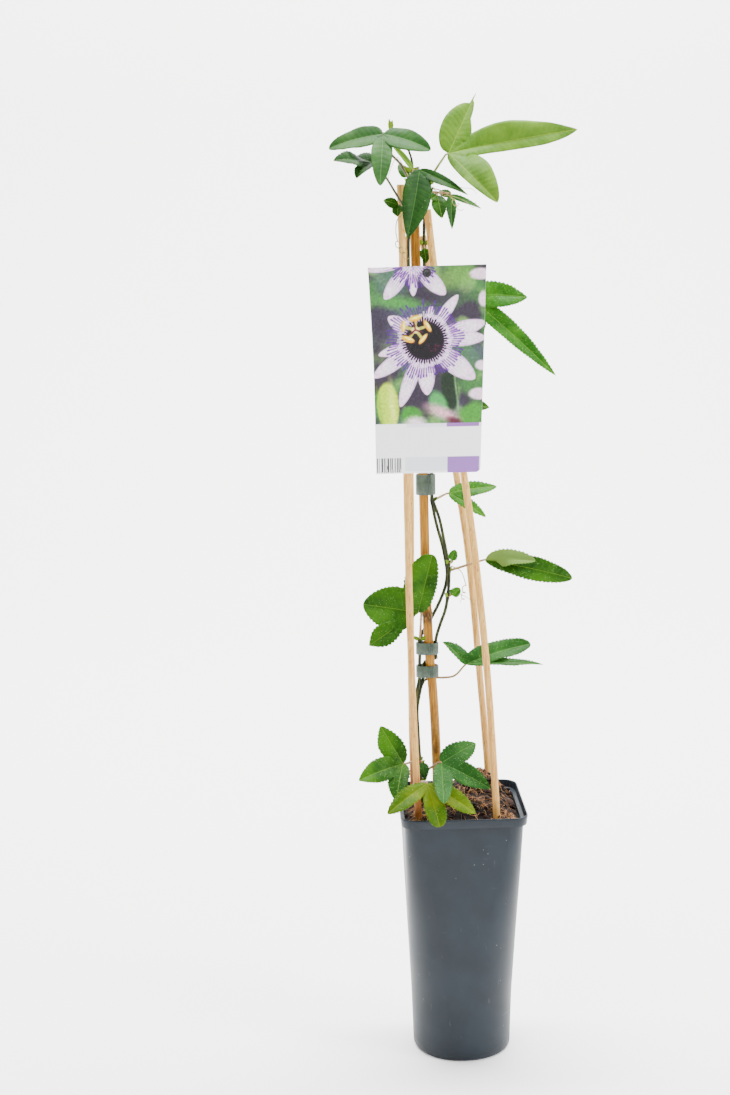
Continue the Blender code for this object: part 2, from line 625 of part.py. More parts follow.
def petiole_path(leaf, base, facing, middle, stem_path):
    """From just off the stem, round any bends, to the leaf's base, which it meets from behind."""
    node = at_height(stem_path, leaf.node * MM)
    hook = base - middle * 2.5 * MM - facing * 1.5 * MM
    bends = in_metres(leaf.bends)
    outward = (bends or [hook])[0] - node
    outward.z = 0
    start = node + outward.normalized() * (STEM_RADIUS + GAP + 0.6 * LEAF_THICKNESS)
    return smooth_path([start, *bends, hook, base], PETIOLE_STEP)


def make_leaves(stem_paths, collection):
    green = new_material("leaf_green", (0.06, 0.17, 0.04), 0.5)
    for name, leaf in LEAVES.items():
        points, faces = leaf_shape(leaf, stem_paths[leaf.carrier])
        obj = add_mesh(name, points, faces, green, collection)
        solidify = obj.modifiers.new("Thickness", "SOLIDIFY")
        solidify.thickness = LEAF_THICKNESS
        solidify.offset = 0


# ---------------------------------------------------------------- the object


def main():
    clear_scene()
    plant = new_collection("passion_flower_climber")
    cutters = new_collection("cutters")
    cutters.hide_render = True
    make_pot(plant, cutters)
    substrate = make_substrate(plant)
    cane_paths = make_canes(plant)
    for name, path in cane_paths.items():
        bore_substrate(substrate, name, path, BAMBOO_RADIUS if name == "cane_bamboo" else CANE_RADIUS, cutters)
    stem_paths = make_stems(plant)
    for name, path in stem_paths.items():
        bore_substrate(substrate, name, path, STEM_RADIUS, cutters)
    make_clips(plant)
    make_label(plant)
    make_tie(cane_paths["cane_front_right"], plant, cutters)
    make_tendrils(plant)
    make_leaves(stem_paths, plant)


main()
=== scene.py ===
"""Looks of the potted passion flower climber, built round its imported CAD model.

Blender 4.5. Metres, +Z up, and -Y is the front. Points along stems, canes and leaves, and the sizes of lobes,
are in millimetres, as in the CAD.
"""

import math
import random
from collections import namedtuple
from functools import partial, reduce

import bpy
import numpy as np
from mathutils import Matrix, Vector, noise


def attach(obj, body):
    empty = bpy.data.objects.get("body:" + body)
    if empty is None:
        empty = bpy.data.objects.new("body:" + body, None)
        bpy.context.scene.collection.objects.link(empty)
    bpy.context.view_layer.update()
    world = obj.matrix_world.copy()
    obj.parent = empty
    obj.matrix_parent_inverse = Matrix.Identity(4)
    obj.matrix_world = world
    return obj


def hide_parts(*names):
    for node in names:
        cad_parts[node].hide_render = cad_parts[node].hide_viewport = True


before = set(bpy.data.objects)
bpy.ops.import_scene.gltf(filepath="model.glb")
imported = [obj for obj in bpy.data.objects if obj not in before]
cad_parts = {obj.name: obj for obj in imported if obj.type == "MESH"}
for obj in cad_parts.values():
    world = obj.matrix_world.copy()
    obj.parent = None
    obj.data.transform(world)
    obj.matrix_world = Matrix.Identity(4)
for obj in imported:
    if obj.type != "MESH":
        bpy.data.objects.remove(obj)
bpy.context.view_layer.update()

MM = 0.001
UP = Vector((0, 0, 1))

# ---------------------------------------------------------------- dimensions shared with the CAD

POT_HEIGHT = 222 * MM
POT_WALL = 1.2 * MM
POT_FLOOR = 2.0 * MM
RIM_HALF_WIDTH = 53.5 * MM
RIM_CORNER = 13.0 * MM
RIM_DEPTH = 8.0 * MM
POT_BODY = (  # height, half width and corner radius
    (0.0, 40.5, 39.7), (3.0, 42.2, 41.3), (50.0, 43.6, 41.0),
    (110.0, 46.2, 33.0), (165.0, 48.4, 21.0), (214.0, 50.2, 12.5),
)
DRAIN_HOLES = 6
DRAIN_HOLE_RADIUS = 4.0 * MM
DRAIN_RING_RADIUS = 29.0 * MM
SUBSTRATE_EDGE = 211.0 * MM
SUBSTRATE_RISE = 14.0 * MM
HEAP_CENTRE = (15.0 * MM, 28.0 * MM)
HEAP_HEIGHT = 18.0 * MM
HEAP_SPREAD = 13.0 * MM
LUMP_HEIGHT = 1.5 * MM
LUMP_SCALE = 90.0

CANE_RADIUS = 3.0 * MM
BAMBOO_RADIUS = 4.0 * MM
BAMBOO_NODE_HEIGHT = 0.384
CANES = {
    "cane_front_left": (
        (-34, -34, 130), (-38, -36, 218), (-41.5, -34, 310), (-43.5, -30, 400),
        (-44.2, -25, 488), (-45.2, -20.5, 600), (-45.6, -18, 679), (-46.6, -15, 741),
    ),
    "cane_front_right": (
        (31, -36, 130), (27.8, -36, 219), (20.9, -32, 336), (11.5, -28, 437),
        (2.5, -24.5, 507), (-10.5, -17, 600), (-20.2, -11, 678), (-24.8, -8, 721),
    ),
    "cane_back_right": (
        (32, 37, 130), (27.5, 36, 231), (20.7, 34, 318), (11, 30, 426),
        (0.5, 26, 499), (-14, 19, 600), (-24.8, 12, 679), (-27.5, 11, 700),
    ),
    "cane_back_left": (
        (-34, 34, 130), (-38, 38, 226), (-39.3, 34, 355), (-38.5, 30, 480),
        (-40, 18, 620), (-41, 9, 700),
    ),
}
BAMBOO = (
    (-17, 5, 110), (-19.8, 5, 254), (-22.4, 3.5, 315), (-25.6, 2, 356),
    (-28.2, 0.5, 420), (-29.4, 0, 495), (-33.9, 0, 678), (-34.6, 0, 718),
)

STEM_RADIUS = 1.1 * MM
STEMS = {
    "stem_a": (
        (-31, 4, 195), (-33, 4, 235), (-35.5, 3.5, 283), (-36, 3, 303), (-33, 4.2, 320),
        (-30.2, 4.6, 331), (-30.2, 4.6, 341.5), (-26.8, 8.6, 343.3), (-22.6, 8.2, 344.8),
        (-19.4, 5, 346.6), (-19.9, 2.3, 349.3), (-20.05, 2, 352), (-20.05, 2, 361),
        (-18.9, 0.5, 368), (-15.9, -2, 378.6), (-11.7, -5, 392), (-9.2, -6, 411),
        (-9, -6, 427), (-10.5, -6, 437), (-14, -5, 456), (-16.8, -4, 469), (-21.6, -2, 483),
        (-22.4, -1.7, 488.5), (-22.4, -1.7, 506), (-25, -7, 520), (-31, -8, 560),
        (-37, -7.5, 600), (-40, -6, 640), (-40, -4.5, 690), (-38.8, -3.4, 720),
        (-37, -2, 745), (-36, 1, 758), (-40, 2.5, 770), (-48, 3, 776), (-53, 2, 786),
    ),
    "stem_b": (
        (-31, -3, 195), (-33.5, -3, 235), (-37, -1.5, 283), (-38.5, -0.5, 303), (-36, 0.5, 320),
        (-33.9, 1.4, 331), (-33.9, 1.4, 341), (-33.6, 0.9, 351), (-33.6, 0.9, 361),
        (-32.6, 3.5, 365), (-29.5, 7.2, 371), (-25, 7.6, 377.5), (-21.6, 4.8, 384.5),
        (-16.7, 1.5, 395.5), (-12.5, 1.2, 406), (-10.6, 1.2, 414), (-10.2, 1, 424),
        (-13.5, 0.8, 443), (-18, 1, 460), (-21, 1.4, 474), (-22.4, 1.6, 486), (-22.4, 1.6, 506),
        (-24, 4.5, 525), (-26, 6.5, 560), (-26.5, 6, 600), (-26.8, 4, 650), (-27, 1, 697),
        (-26.5, 0.5, 716), (-24, -3, 728), (-22, -3.8, 738), (-22, -4, 749),
    ),
}

CLIP_HALF_DEPTH = 4.5 * MM
CLIP_WALL = 1.0 * MM
CLIPS = {  # centre, half the width inside, and height
    "clip_low": ((-27.2, 2.6, 336), 8.6, 10),
    "clip_middle": ((-27.2, 2, 356), 8.6, 10),
    "clip_high": ((-27.5, 0, 496.5), 7.2, 17),
}

LABEL_THICKNESS = 0.5 * MM
LABEL_HOLE = Vector((-26.5, -22.7, 671.3)) * MM
LABEL_LEAN = math.radians(2.06)
LABEL_LEFT = ((-73.8, 676.0), (-72.6, 652), (-71.6, 630), (-70.3, 598), (-69.7, 557), (-69.4, 510))
LABEL_RIGHT = (
    (12.6, 510.3), (14.8, 511.4), (15.6, 513.6), (17.0, 555), (19.3, 617), (20.3, 647), (21.5, 677.4),
)
TIE_RADIUS = 1.2 * MM
TIE_HEAD_THICKNESS = 1.6 * MM
TIE_WRAP = math.radians(285)

TENDRIL_RADIUS = 0.45 * MM
TENDRILS = {  # a lead-in, then a coil of that radius and number of turns that drifts on to the last point
    "tendril_cane": (
        ((-45.5, -24, 717.5), (-50, -25.5, 713), (-51, -24.5, 704), (-49.5, -22.5, 696)),
        (-41, -21.9, 683), 1.6, 3.0,
    ),
    "tendril_top": (((-20.6, -5, 738), (-12, -9, 735), (-3, -12, 728)), (4, -13, 721), 1.8, 2.0),
    "tendril_middle": (((-6, -8, 428), (1, -11, 424), (5, -12, 412)), (3, -12, 398), 1.5, 2.5),
}

# ---------------------------------------------------------------- leaves: places as in the CAD

# A lobe's outline widens to half_width and narrows to its tip. peak moves the widest place outwards, power
# below 0.8 fills the outline out, and strap is the share of the length after which only a narrow strap goes
# on to the tip. left and right widen the two sides, and late moves the right side's widest place outwards.
# fold and twist are in degrees, and a turned lobe shows its pale back. A leaf's lobes are webbed as far out
# from its base as joined says. A petiole goes from the stem at the height node over any bends to the base.
# The outlines are finer than the CAD's.
Lobe = namedtuple(
    "Lobe", "tip half_width arch fold twist peak power strap left right late turned",
    defaults=(2, 12, 0, 0.75, 0.8, 1.0, 1.0, 1.0, 1.0, 0),
)
Leaf = namedtuple(
    "Leaf", "carrier node base facing joined lobes bends look teeth petiole",
    defaults=((), "green", 1.35, "brown"),
)
PETIOLE_WIDTH = 1.6 * MM

LEAVES = {
    "leaf_low_left": Leaf("stem_a", 257, (-50, -22, 262), (-0.2, -0.8, 0.5), 11, (
        Lobe((-57, -50, 238), 8, 5), Lobe((-88, -40, 254), 9, 5), Lobe((-68, -10, 292), 9.5, 4))),
    "leaf_low_front": Leaf("stem_b", 240, (-31, -44, 251), (0, -0.65, 0.75), 6, (
        Lobe((8, -58, 229), 8, 4, peak=1.0, power=0.7), Lobe((-22, -64, 220), 8.5, 3, peak=1.4, power=0.4),
        Lobe((-65, -60, 231), 8, 4, peak=0.95, power=0.7)), look="yellow"),
    "leaf_low_right": Leaf("stem_b", 246, (-17.5, -20, 261), (0, -0.8, 0.6), 9, (
        Lobe((13, -4, 273), 9.5, 4, power=0.7), Lobe((23, -30, 241), 8.5, 5, power=0.7),
        Lobe((-19, -66, 241), 7.5, 5, peak=0.9, power=0.5)), look="speckled"),
    "leaf_low_small": Leaf("stem_b", 255, (-33, -8, 258), (0.1, -0.9, 0.4), 0, (
        Lobe((-31, -17, 246), 4.5, 1.5),), look="dark"),
    "leaf_lower_right": Leaf("stem_a", 326, (6, 0, 342), (0, -0.35, 0.93), 10, (
        Lobe((-14, 6, 360), 5, 3), Lobe((61, 4, 357), 9, 4, 12, 30, peak=0.95, power=0.5),
        Lobe((69, -16, 344), 5, 3)),
        ((-24, 10, 328), (-13, 5, 329), (-4, 0, 332)), look="speckled"),
    "leaf_middle_left": Leaf("stem_b", 363, (-35, -6, 389), (-0.1, -0.95, 0.25), 5, (
        Lobe((-77, -14, 363), 9.5, 4, peak=1.7, power=1.0), Lobe((-81, 2, 395), 18, 5, power=0.6),
        Lobe((-23, -10, 439), 12, 3, peak=0.95, left=1.4, right=0.85, power=0.45))),
    "leaf_middle_right": Leaf("stem_a", 424, (21, -14, 434), (0, -0.85, 0.5), 9, (
        Lobe((61, -27, 435), 8, 8, left=1.0, right=0.6, power=0.6, turned=1),
        Lobe((92, -24, 419), 10, 6, 14, 25, peak=1.1, power=0.6))),
    "leaf_under_label": Leaf("stem_b", 482, (-7, 10, 487), (0, -0.7, 0.7), 8, (
        Lobe((34, 22, 490), 7, 3, power=0.65), Lobe((23, 4, 467), 5, 3, power=0.65)), look="speckled_green"),
    "leaf_upper_right": Leaf("stem_b", 640, (8, 18, 652), (0.2, -0.85, 0.4), 12, (
        Lobe((60, 24, 648), 11, 4), Lobe((82, 10, 584), 8, 5), Lobe((23, 14, 622), 6, 4)),
        look="speckled_green"),
    "leaf_behind_label": Leaf("stem_b", 555, (8, 14, 561), (0, -0.8, 0.5), 0, (
        Lobe((27, 12, 558), 5.5, 2),)),
    "leaf_back_high": Leaf("stem_b", 655, (-36, 24, 662), (0, 0.8, 0.5), 10, (
        Lobe((-66, 30, 656), 7, 4), Lobe((-42, 48, 636), 8, 5), Lobe((-12, 38, 652), 7, 4))),
    "leaf_back_middle": Leaf("stem_b", 600, (-30, 26, 608), (0, 0.8, 0.5), 10, (
        Lobe((-60, 40, 590), 8, 4), Lobe((-27, 52, 574), 9, 5), Lobe((4, 38, 602), 8, 4)), look="dark"),
    "leaf_back_low": Leaf("stem_b", 545, (-20, 32, 550), (0, 0.8, 0.5), 10, (
        Lobe((-50, 38, 532), 7, 4), Lobe((-18, 56, 522), 8, 5), Lobe((9, 42, 548), 7, 4))),
    # This leaf's look is partly painted light: its colour is lightened to stand in for light shining through
    # the blade.
    "leaf_top_right": Leaf("stem_b", 746, (-7, -6, 765), (-0.1, -0.95, 0.3), 18, (
        Lobe((18, 22, 814), 13, 2, 8, strap=0.8, left=1.15, right=0.35, peak=0.95, power=0.45),
        Lobe((99, 12, 783), 12, 5, 10, left=1.2, right=0.72, late=1.9),
        Lobe((28, -46, 726), 13, 4, 8, power=0.6, right=0.5, left=1.05)),
        look="bright_lit_through", teeth=0, petiole="green"),
    "leaf_top_left": Leaf("stem_a", 742, (-60, -20, 780), (0, -0.75, 0.65), 8, (
        Lobe((-23, -30, 767), 10, 5, right=1.15, power=0.6),
        Lobe((-64, -48, 740), 7.5, 5, peak=0.9, power=0.6), Lobe((-103, -8, 770), 10, 5, power=0.52)),
        ((-46, -9, 757), (-54, -13, 766)), look="blue", teeth=0.15, petiole="dark"),
    "leaf_top_left_under": Leaf("stem_a", 722, (-69, -22, 758), (-0.3, -0.6, 0.75), 8, (
        Lobe((-82, -36, 746), 6, 4), Lobe((-100, -30, 760), 8, 4), Lobe((-84, 2, 762), 7, 3)),
        ((-41.5, -21, 722), (-47, -25, 728), (-58, -26, 746)), look="dark", petiole="dark"),
    "leaf_top_hanging": Leaf("stem_b", 741, (-31.4, -20, 752), (0.2, -0.9, 0.4), 9, (
        Lobe((7, -20, 732), 4.5, 4, 16, -25), Lobe((-43, -44, 699), 11, 6)),
        look="deep", petiole="dark", teeth=0.3),
    # This leaf's look is partly painted light: its colour is lightened to stand in for light shining through
    # the blade.
    "leaf_top_narrow": Leaf("stem_a", 751, (-36, -8, 753), (0.3, -0.8, 0.5), 0, (
        Lobe((-56, -12, 775), 3, 2, 25),), look="bright_lit_through", teeth=0),
    "leaf_top_back": Leaf("stem_a", 746, (-40, 5, 747), (0.2, -0.9, 0.3), 0, (
        Lobe((-47, 10, 757), 4.5, 1.5),)),
    "leaf_top_small_left": Leaf("stem_a", 716, (-49, -25, 725), (-0.2, -0.9, 0.3), 3, (
        Lobe((-50, -30, 716), 4, 1), Lobe((-61, -31, 729), 4, 1)),
        ((-40.5, -20, 717), (-44.5, -23.5, 721))),
    "leaf_top_small_right": Leaf("stem_b", 731, (-17, -11, 732), (0, -0.95, 0.3), 3, (
        Lobe((-14, -23, 714), 6, 2), Lobe((-23, -17, 729), 3.5, 1))),
    "leaf_top_blue": Leaf("stem_b", 735, (-5, 1, 732), (0, -0.8, 0.6), 5, (
        Lobe((20, 4, 721), 2.2, 3), Lobe((-5, -9, 705), 3.2, 3), Lobe((-15, 6, 735), 3, 2)),
        look="blue", teeth=0.5),
    "leaflet_stem": Leaf("stem_b", 693, (-27, -3, 690), (0, -1, 0.2), 0, (
        Lobe((-26, -6.5, 678), 4, 1),)),
    "leaflet_bow_low": Leaf("stem_a", 402, (-7, -9, 404), (0.2, -0.9, 0.2), 0, (
        Lobe((0, -11, 410), 4, 1, power=0.5),), look="speckled_green"),
    "leaflet_bow_high": Leaf("stem_a", 430, (-7, -10, 434), (0, -0.9, 0.3), 0, (
        Lobe((-4, -12, 443), 3.6, 1, power=0.5),), look="speckled_green"),
}

# ---------------------------------------------------------------- sizes for the look only

CORNER_STEPS = 12
EDGE_STEPS = 6
SUBSTRATE_RINGS = 61
SUBSTRATE_HALF_WIDTH = 48.8 * MM
FIBRE_LIMIT = 46.5 * MM
TIE_HEAD = (  # radius and depth in millimetres, from the front's middle over the edge to the back's
    (0.02, 0.5), (1.6, 0.45), (2.2, 0.05), (2.9, 0.0), (3.4, 0.25),
    (3.6, 0.7), (3.6, 1.3), (3.3, 1.6), (0.02, 1.6),
)
PRINT_COLUMNS, PRINT_ROWS = 190, 336
PRINT_ORIGIN = (-71.0, 510.0)  # x and height on the card, in millimetres like the next three
PRINT_BOTTOM = 510.15
PRINT_INSET = 0.1
PRINT_HOLE_RADIUS = 3.3
THREAD_RADIUS = 0.32 * MM
TENDRIL_THREADS = {
    "tendril_thread_left": (
        (-40, -8, 748), (-48, -12, 762), (-53, -14, 756), (-56, -15, 744), (-50, -16, 735),
    ),
    "tendril_thread_right": ((-22, -6, 747), (-10, -12, 744), (2, -16, 738), (10, -18, 737), (14, -18, 733)),
    "tendril_thread_low": (
        (-22, -4, 740), (-14, -8, 733), (-4, -10, 731), (6, -10, 727), (12, -12, 722), (14, -12, 727),
    ),
    "tendril_thread_bow": ((-9, -7, 404), (2, -12, 404), (10, -12, 398), (14, -10, 388), (12, -9, 380)),
}
LARGE_LOBE = 25 * MM
BLADE_COLUMNS = 7
SWEEP_START = 1.2
SWEEP_RADIUS = 0.9

# ---------------------------------------------------------------- materials


def linear(colour):
    """A display colour of 0 to 255 as the linear colour that shaders take."""
    return tuple((c / 255 / 12.92) if c <= 10 else ((c / 255 + 0.055) / 1.055) ** 2.4 for c in colour)


class Shader:
    """A material with a Principled BSDF, and short calls that add nodes. Colours are display colours."""

    def __init__(self, name, roughness, specular=0.5):
        self.material = bpy.data.materials.new(name)
        self.material.use_nodes = True
        self.tree = self.material.node_tree
        self.surface = self.tree.nodes["Principled BSDF"]
        self.surface.inputs["Roughness"].default_value = roughness
        self.surface.inputs["Specular IOR Level"].default_value = specular

    def put(self, socket, value):
        if isinstance(value, bpy.types.NodeSocket):
            self.tree.links.new(value, socket)
        elif socket.type == "RGBA":
            socket.default_value = (*linear(value), 1)
        else:
            socket.default_value = value

    def node(self, kind, inputs, **settings):
        made = self.tree.nodes.new("ShaderNode" + kind)
        for key, value in settings.items():
            setattr(made, key, value)
        for key, value in inputs.items():
            self.put(made.inputs[key], value)
        return made

    def math(self, operation, a, b=0.0):
        return self.node("Math", {0: a, 1: b}, operation=operation).outputs[0]

    def times(self, *values):
        return reduce(partial(self.math, "MULTIPLY"), values)

    def plus(self, *values):
        return reduce(partial(self.math, "ADD"), values)

    def most(self, *values):
        return reduce(partial(self.math, "MAXIMUM"), values)

    def between(self, value, low, high):
        """0 up to low and 1 from high, or the other way round where low is over high."""
        ends = (low, high, 0.0, 1.0) if low < high else (high, low, 1.0, 0.0)
        inputs = dict(zip(("From Min", "From Max", "To Min", "To Max"), ends))
        return self.node("MapRange", {"Value": value, **inputs}, interpolation_type="SMOOTHSTEP").outputs[0]

    def mix(self, share, a, b):
        return self.node("Mix", {0: share, 6: a, 7: b}, data_type="RGBA").outputs[2]

    def tint(self, base, colour, *shares):
        """The base, taken towards the colour by the product of the shares."""
        return self.mix(self.times(*shares), base, colour)

    def attribute(self, name, output="Vector"):
        return self.node("Attribute", {}, attribute_name=name).outputs[output]

    def parts(self, value, kind="XYZ"):
        return self.node("Separate" + kind, {0: value}).outputs

    def place(self, stretch=(1, 1, 1)):
        """Object coordinates, which are the row frame's, in metres, stretched."""
        where = self.node("TexCoord", {}).outputs["Object"]
        return self.node("Mapping", {"Vector": where, "Scale": stretch}).outputs[0]

    def noise(self, scale, detail=3.0, stretch=(1, 1, 1)):
        inputs = {"Vector": self.place(stretch), "Scale": scale, "Detail": detail}
        return self.node("TexNoise", inputs).outputs["Fac"]

    def cells(self, scale, **settings):
        return self.node("TexVoronoi", {"Vector": self.place(), "Scale": scale}, **settings).outputs

    def dots(self, scale, share, outer, inner):
        """Round dots in this share of the cells, which fade between the two radii."""
        cell = self.cells(scale)
        chosen = self.between(self.parts(cell["Color"], "Color")[0], 1.0 - share, 1.02 - share)
        return self.times(self.between(cell["Distance"], outer, inner), chosen)

    def finish(self, base, roughness=None, height=None, depth=0.3 * MM, strength=0.5):
        self.put(self.surface.inputs["Base Color"], base)
        if roughness is not None:
            self.put(self.surface.inputs["Roughness"], roughness)
        if height is not None:
            bump = self.node("Bump", {"Height": height, "Distance": depth, "Strength": strength})
            self.put(self.surface.inputs["Normal"], bump.outputs[0])
        return self.material


def leaf_material(name, dark, light, vein, spots=0, back=False):
    """A blade with its veins. The blade attribute holds the millimetres off the midrib and along it."""
    look = Shader(name, 0.65 if back else 0.5, specular=0.09)
    off, along = look.parts(look.attribute("blade"))[:2]
    broad = look.noise(45.0)
    fine = look.noise(420.0)
    slant = look.plus(look.math("SUBTRACT", along, look.times(off, 0.75)), look.times(off, off, 0.018))
    ridge = look.math("PINGPONG", look.plus(look.math("DIVIDE", slant, 4.6), look.times(broad, 0.8)), 0.5)
    side_vein = look.between(ridge, 0.06, 0.01)
    midrib = look.between(off, 0.42, 0.12)
    net = look.between(look.cells(520.0, feature="DISTANCE_TO_EDGE")["Distance"], 0.10, 0.0)
    veins = look.most(midrib, look.times(side_vein, 0.3), look.times(net, 0.12))
    base = look.mix(look.between(broad, 0.35, 0.68), dark, light)
    base = look.tint(base, light, look.between(fine, 0.45, 0.75), 0.3)
    base = look.tint(base, vein, veins, 0.62)
    if spots:
        base = look.tint(base, (168, 198, 124), look.dots(850.0, spots, 0.24, 0.12), 0.5)
    if back:
        height = look.most(midrib, look.times(side_vein, 0.7))
    else:
        height = look.plus(look.times(look.between(ridge, 0.0, 0.4), 0.45), look.times(fine, 0.35))
    return look.finish(base, height=height, strength=0.55)


def stem_material(name, dark, light, roughness=0.5):
    """Fine streaks along the stem and darker patches."""
    look = Shader(name, roughness, specular=0.25)
    streaks = look.noise(900.0, stretch=(1, 1, 0.08))
    base = look.mix(look.between(streaks, 0.35, 0.7), dark, light)
    base = look.tint(base, dark, look.between(look.noise(90.0, 2.0), 0.5, 0.75), 0.5)
    return look.finish(base, height=streaks, depth=0.2 * MM)


def cane_material():
    """Straw-coloured cane: long grain, short dark flecks, browner low down and most of all on the left."""
    look = Shader("cane_straw", 0.6, specular=0.2)
    grain = look.noise(1500.0, 4.0, (1, 1, 0.025))
    bands = look.noise(320.0, 2.0, (1, 1, 0.05))
    flecks = look.noise(1300.0, 2.0, (1, 1, 0.16))
    across, _, height = look.parts(look.place())
    base = look.mix(look.between(grain, 0.3, 0.7), (186, 136, 62), (226, 184, 108))
    base = look.tint(base, (186, 124, 52), look.between(bands, 0.52, 0.7), 0.55)
    base = look.tint(base, (164, 100, 36), look.between(height, 0.52, 0.2), 0.3)
    foot = look.times(look.between(height, 0.275, 0.235), look.between(across, 0.0, -0.01))
    base = look.tint(base, (140, 74, 26), foot, 0.85)
    base = look.tint(base, (104, 66, 30), look.between(flecks, 0.62, 0.7), 0.7)
    return look.finish(base, look.between(grain, -0.6, 1.5), grain, 0.25 * MM, 0.6)


def bamboo_material():
    """Orange-brown bamboo, mottled dark round its node and at its foot."""
    look = Shader("bamboo_brown", 0.45, specular=0.2)
    grain = look.noise(1300.0, 4.0, (1, 1, 0.03))
    mottle = look.noise(300.0, 4.0, (1, 1, 0.5))
    height = look.parts(look.place())[2]
    off_node = look.math("ABSOLUTE", look.math("SUBTRACT", height, BAMBOO_NODE_HEIGHT))
    low = look.times(look.between(height, 0.34, 0.23), 0.8)
    dirt = look.times(look.most(look.between(off_node, 0.011, 0.002), low), look.between(mottle, 0.42, 0.56))
    base = look.mix(look.between(grain, 0.3, 0.7), (122, 76, 12), (172, 122, 34))
    base = look.tint(base, (26, 16, 10), dirt, 0.85)
    return look.finish(base, height=grain, depth=0.2 * MM)


def pot_material():
    """Satin anthracite plastic with a little pale dust, short scuffs and a fine moulded texture."""
    look = Shader("pot_anthracite", 0.45, specular=0.22)
    cloud = look.noise(28.0, 4.0)
    scuffs = look.between(look.noise(420.0, stretch=(1, 1, 0.12)), 0.7, 0.78)
    rubbed = look.between(look.noise(160.0, 5.0, (0.15, 0.15, 1)), 0.66, 0.76)
    base = look.mix(look.between(cloud, 0.35, 0.65), (20, 27, 34), (24, 32, 40))
    base = look.tint(base, (150, 158, 162), look.most(scuffs, rubbed), 0.05)
    base = look.tint(base, (178, 176, 170), look.dots(260.0, 0.08, 0.14, 0.04), 0.3)
    rough = look.plus(look.times(cloud, 0.1), 0.38)
    height = look.plus(look.times(look.noise(1400.0, 2.0), 0.3), look.times(rubbed, 0.3))
    return look.finish(base, rough, height, 0.12 * MM, 0.6)


def soil_material(name, dark, light, red):
    """Bark and coir. The shade attribute holds how light and how red a piece is."""
    look = Shader(name, 0.85, specular=0.25)
    lightness, redness = look.parts(look.attribute("shade"))[:2]
    grain = look.noise(1600.0, 4.0)
    base = look.mix(look.plus(look.times(lightness, 0.75), look.times(grain, 0.3)), dark, light)
    base = look.tint(base, red, redness, 0.6)
    return look.finish(base, height=grain, depth=0.4 * MM, strength=1.0)


def plastic_material(name, dark, light, roughness):
    look = Shader(name, roughness)
    base = look.mix(look.between(look.noise(240.0), 0.35, 0.65), dark, light)
    return look.finish(base, height=look.noise(1800.0, 2.0), depth=0.08 * MM)


def card_material():
    look = Shader("card_white", 0.5)
    fibre = look.noise(900.0, 4.0)
    base = look.mix(look.between(fibre, 0.3, 0.7), (226, 228, 230), (242, 243, 244))
    return look.finish(base, height=fibre, depth=0.05 * MM, strength=0.4)


def print_material():
    """The printed side takes its colours from the print attribute."""
    look = Shader("card_print", 0.42, specular=0.25)
    grain = look.noise(2600.0, 2.0)
    base = look.tint(look.attribute("print", "Color"), (250, 250, 250), look.between(grain, 0.35, 0.75), 0.03)
    return look.finish(base, height=grain, depth=0.03 * MM, strength=0.3)


# ---------------------------------------------------------------- meshes


def polar(radius, angle, z=0.0):
    return Vector((radius * math.cos(angle), radius * math.sin(angle), z))


def circle_angles(count):
    return [2 * math.pi * i / count for i in range(count)]


class Shape:
    """Points, faces, a material index per face and a vector per point, which becomes a mesh object."""

    def __init__(self):
        self.points, self.faces, self.slots, self.values = [], [], [], []

    def add(self, points, faces, slot=0, values=None):
        first = len(self.points)
        self.points += [tuple(point) for point in points]
        self.faces += [tuple(first + i for i in face) for face in faces]
        self.slots += [slot] * len(faces)
        self.values += values or [(0, 0, 0)] * len(points)

    def grid(self, rows, slot=0, values=None, closed=False):
        """Rows of points joined by faces, each row closed to a ring if asked."""
        count = len(rows[0])
        faces = []
        for start in range(0, count * (len(rows) - 1), count):
            for i in range(count if closed else count - 1):
                j = (i + 1) % count
                faces.append((start + i, start + j, start + count + j, start + count + i))
        self.add([point for row in rows for point in row], faces, slot, values)

    def capped(self, rings, value):
        """Rings of points joined into a tube with a cap at each end, and the same value at every point."""
        sides = len(rings[0])
        first = len(self.points)
        self.grid(rings, values=[value] * sides * len(rings), closed=True)
        last = len(self.points) - sides
        self.faces += [tuple(range(first, first + sides))[::-1], tuple(range(last, last + sides))]
        self.slots += [0, 0]

    def tube(self, path, radii, sides=8, value=(0, 0, 0)):
        """A round tube with caps along the path, with a radius at each of its points."""
        along = (path[1] - path[0]).normalized()
        across = along.orthogonal().normalized()
        rings = []
        for i, point in enumerate(path):
            heading = path[min(i + 1, len(path) - 1)] - path[max(i - 1, 0)]
            if heading.length > 1e-9:
                along = heading.normalized()
            across = (across - along * across.dot(along)).normalized()
            other = along.cross(across)
            spokes = [across * math.cos(angle) + other * math.sin(angle) for angle in circle_angles(sides)]
            rings.append([point + spoke * radii[i] for spoke in spokes])
        self.capped(rings, value)

    def finish(self, name, materials, slot, *nodes, attribute=None, sharp=50):
        """The mesh object, shaded smooth, riding on the plant and standing for these CAD nodes."""
        mesh = bpy.data.meshes.new(name)
        mesh.from_pydata(self.points, [], self.faces)
        mesh.polygons.foreach_set("material_index", self.slots)
        if attribute:
            values = mesh.attributes.new(attribute, "FLOAT_VECTOR", "POINT")
            values.data.foreach_set("vector", [c for value in self.values for c in value])
        for material in materials:
            mesh.materials.append(material)
        mesh.shade_smooth()
        mesh.set_sharp_from_angle(angle=math.radians(sharp))
        mesh.update()
        obj = bpy.data.objects.new(name, mesh)
        bpy.context.scene.collection.objects.link(obj)
        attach(obj, "root")
        if nodes:
            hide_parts(*nodes)
        return obj


def in_metres(points):
    return [Vector(point) * MM for point in points]


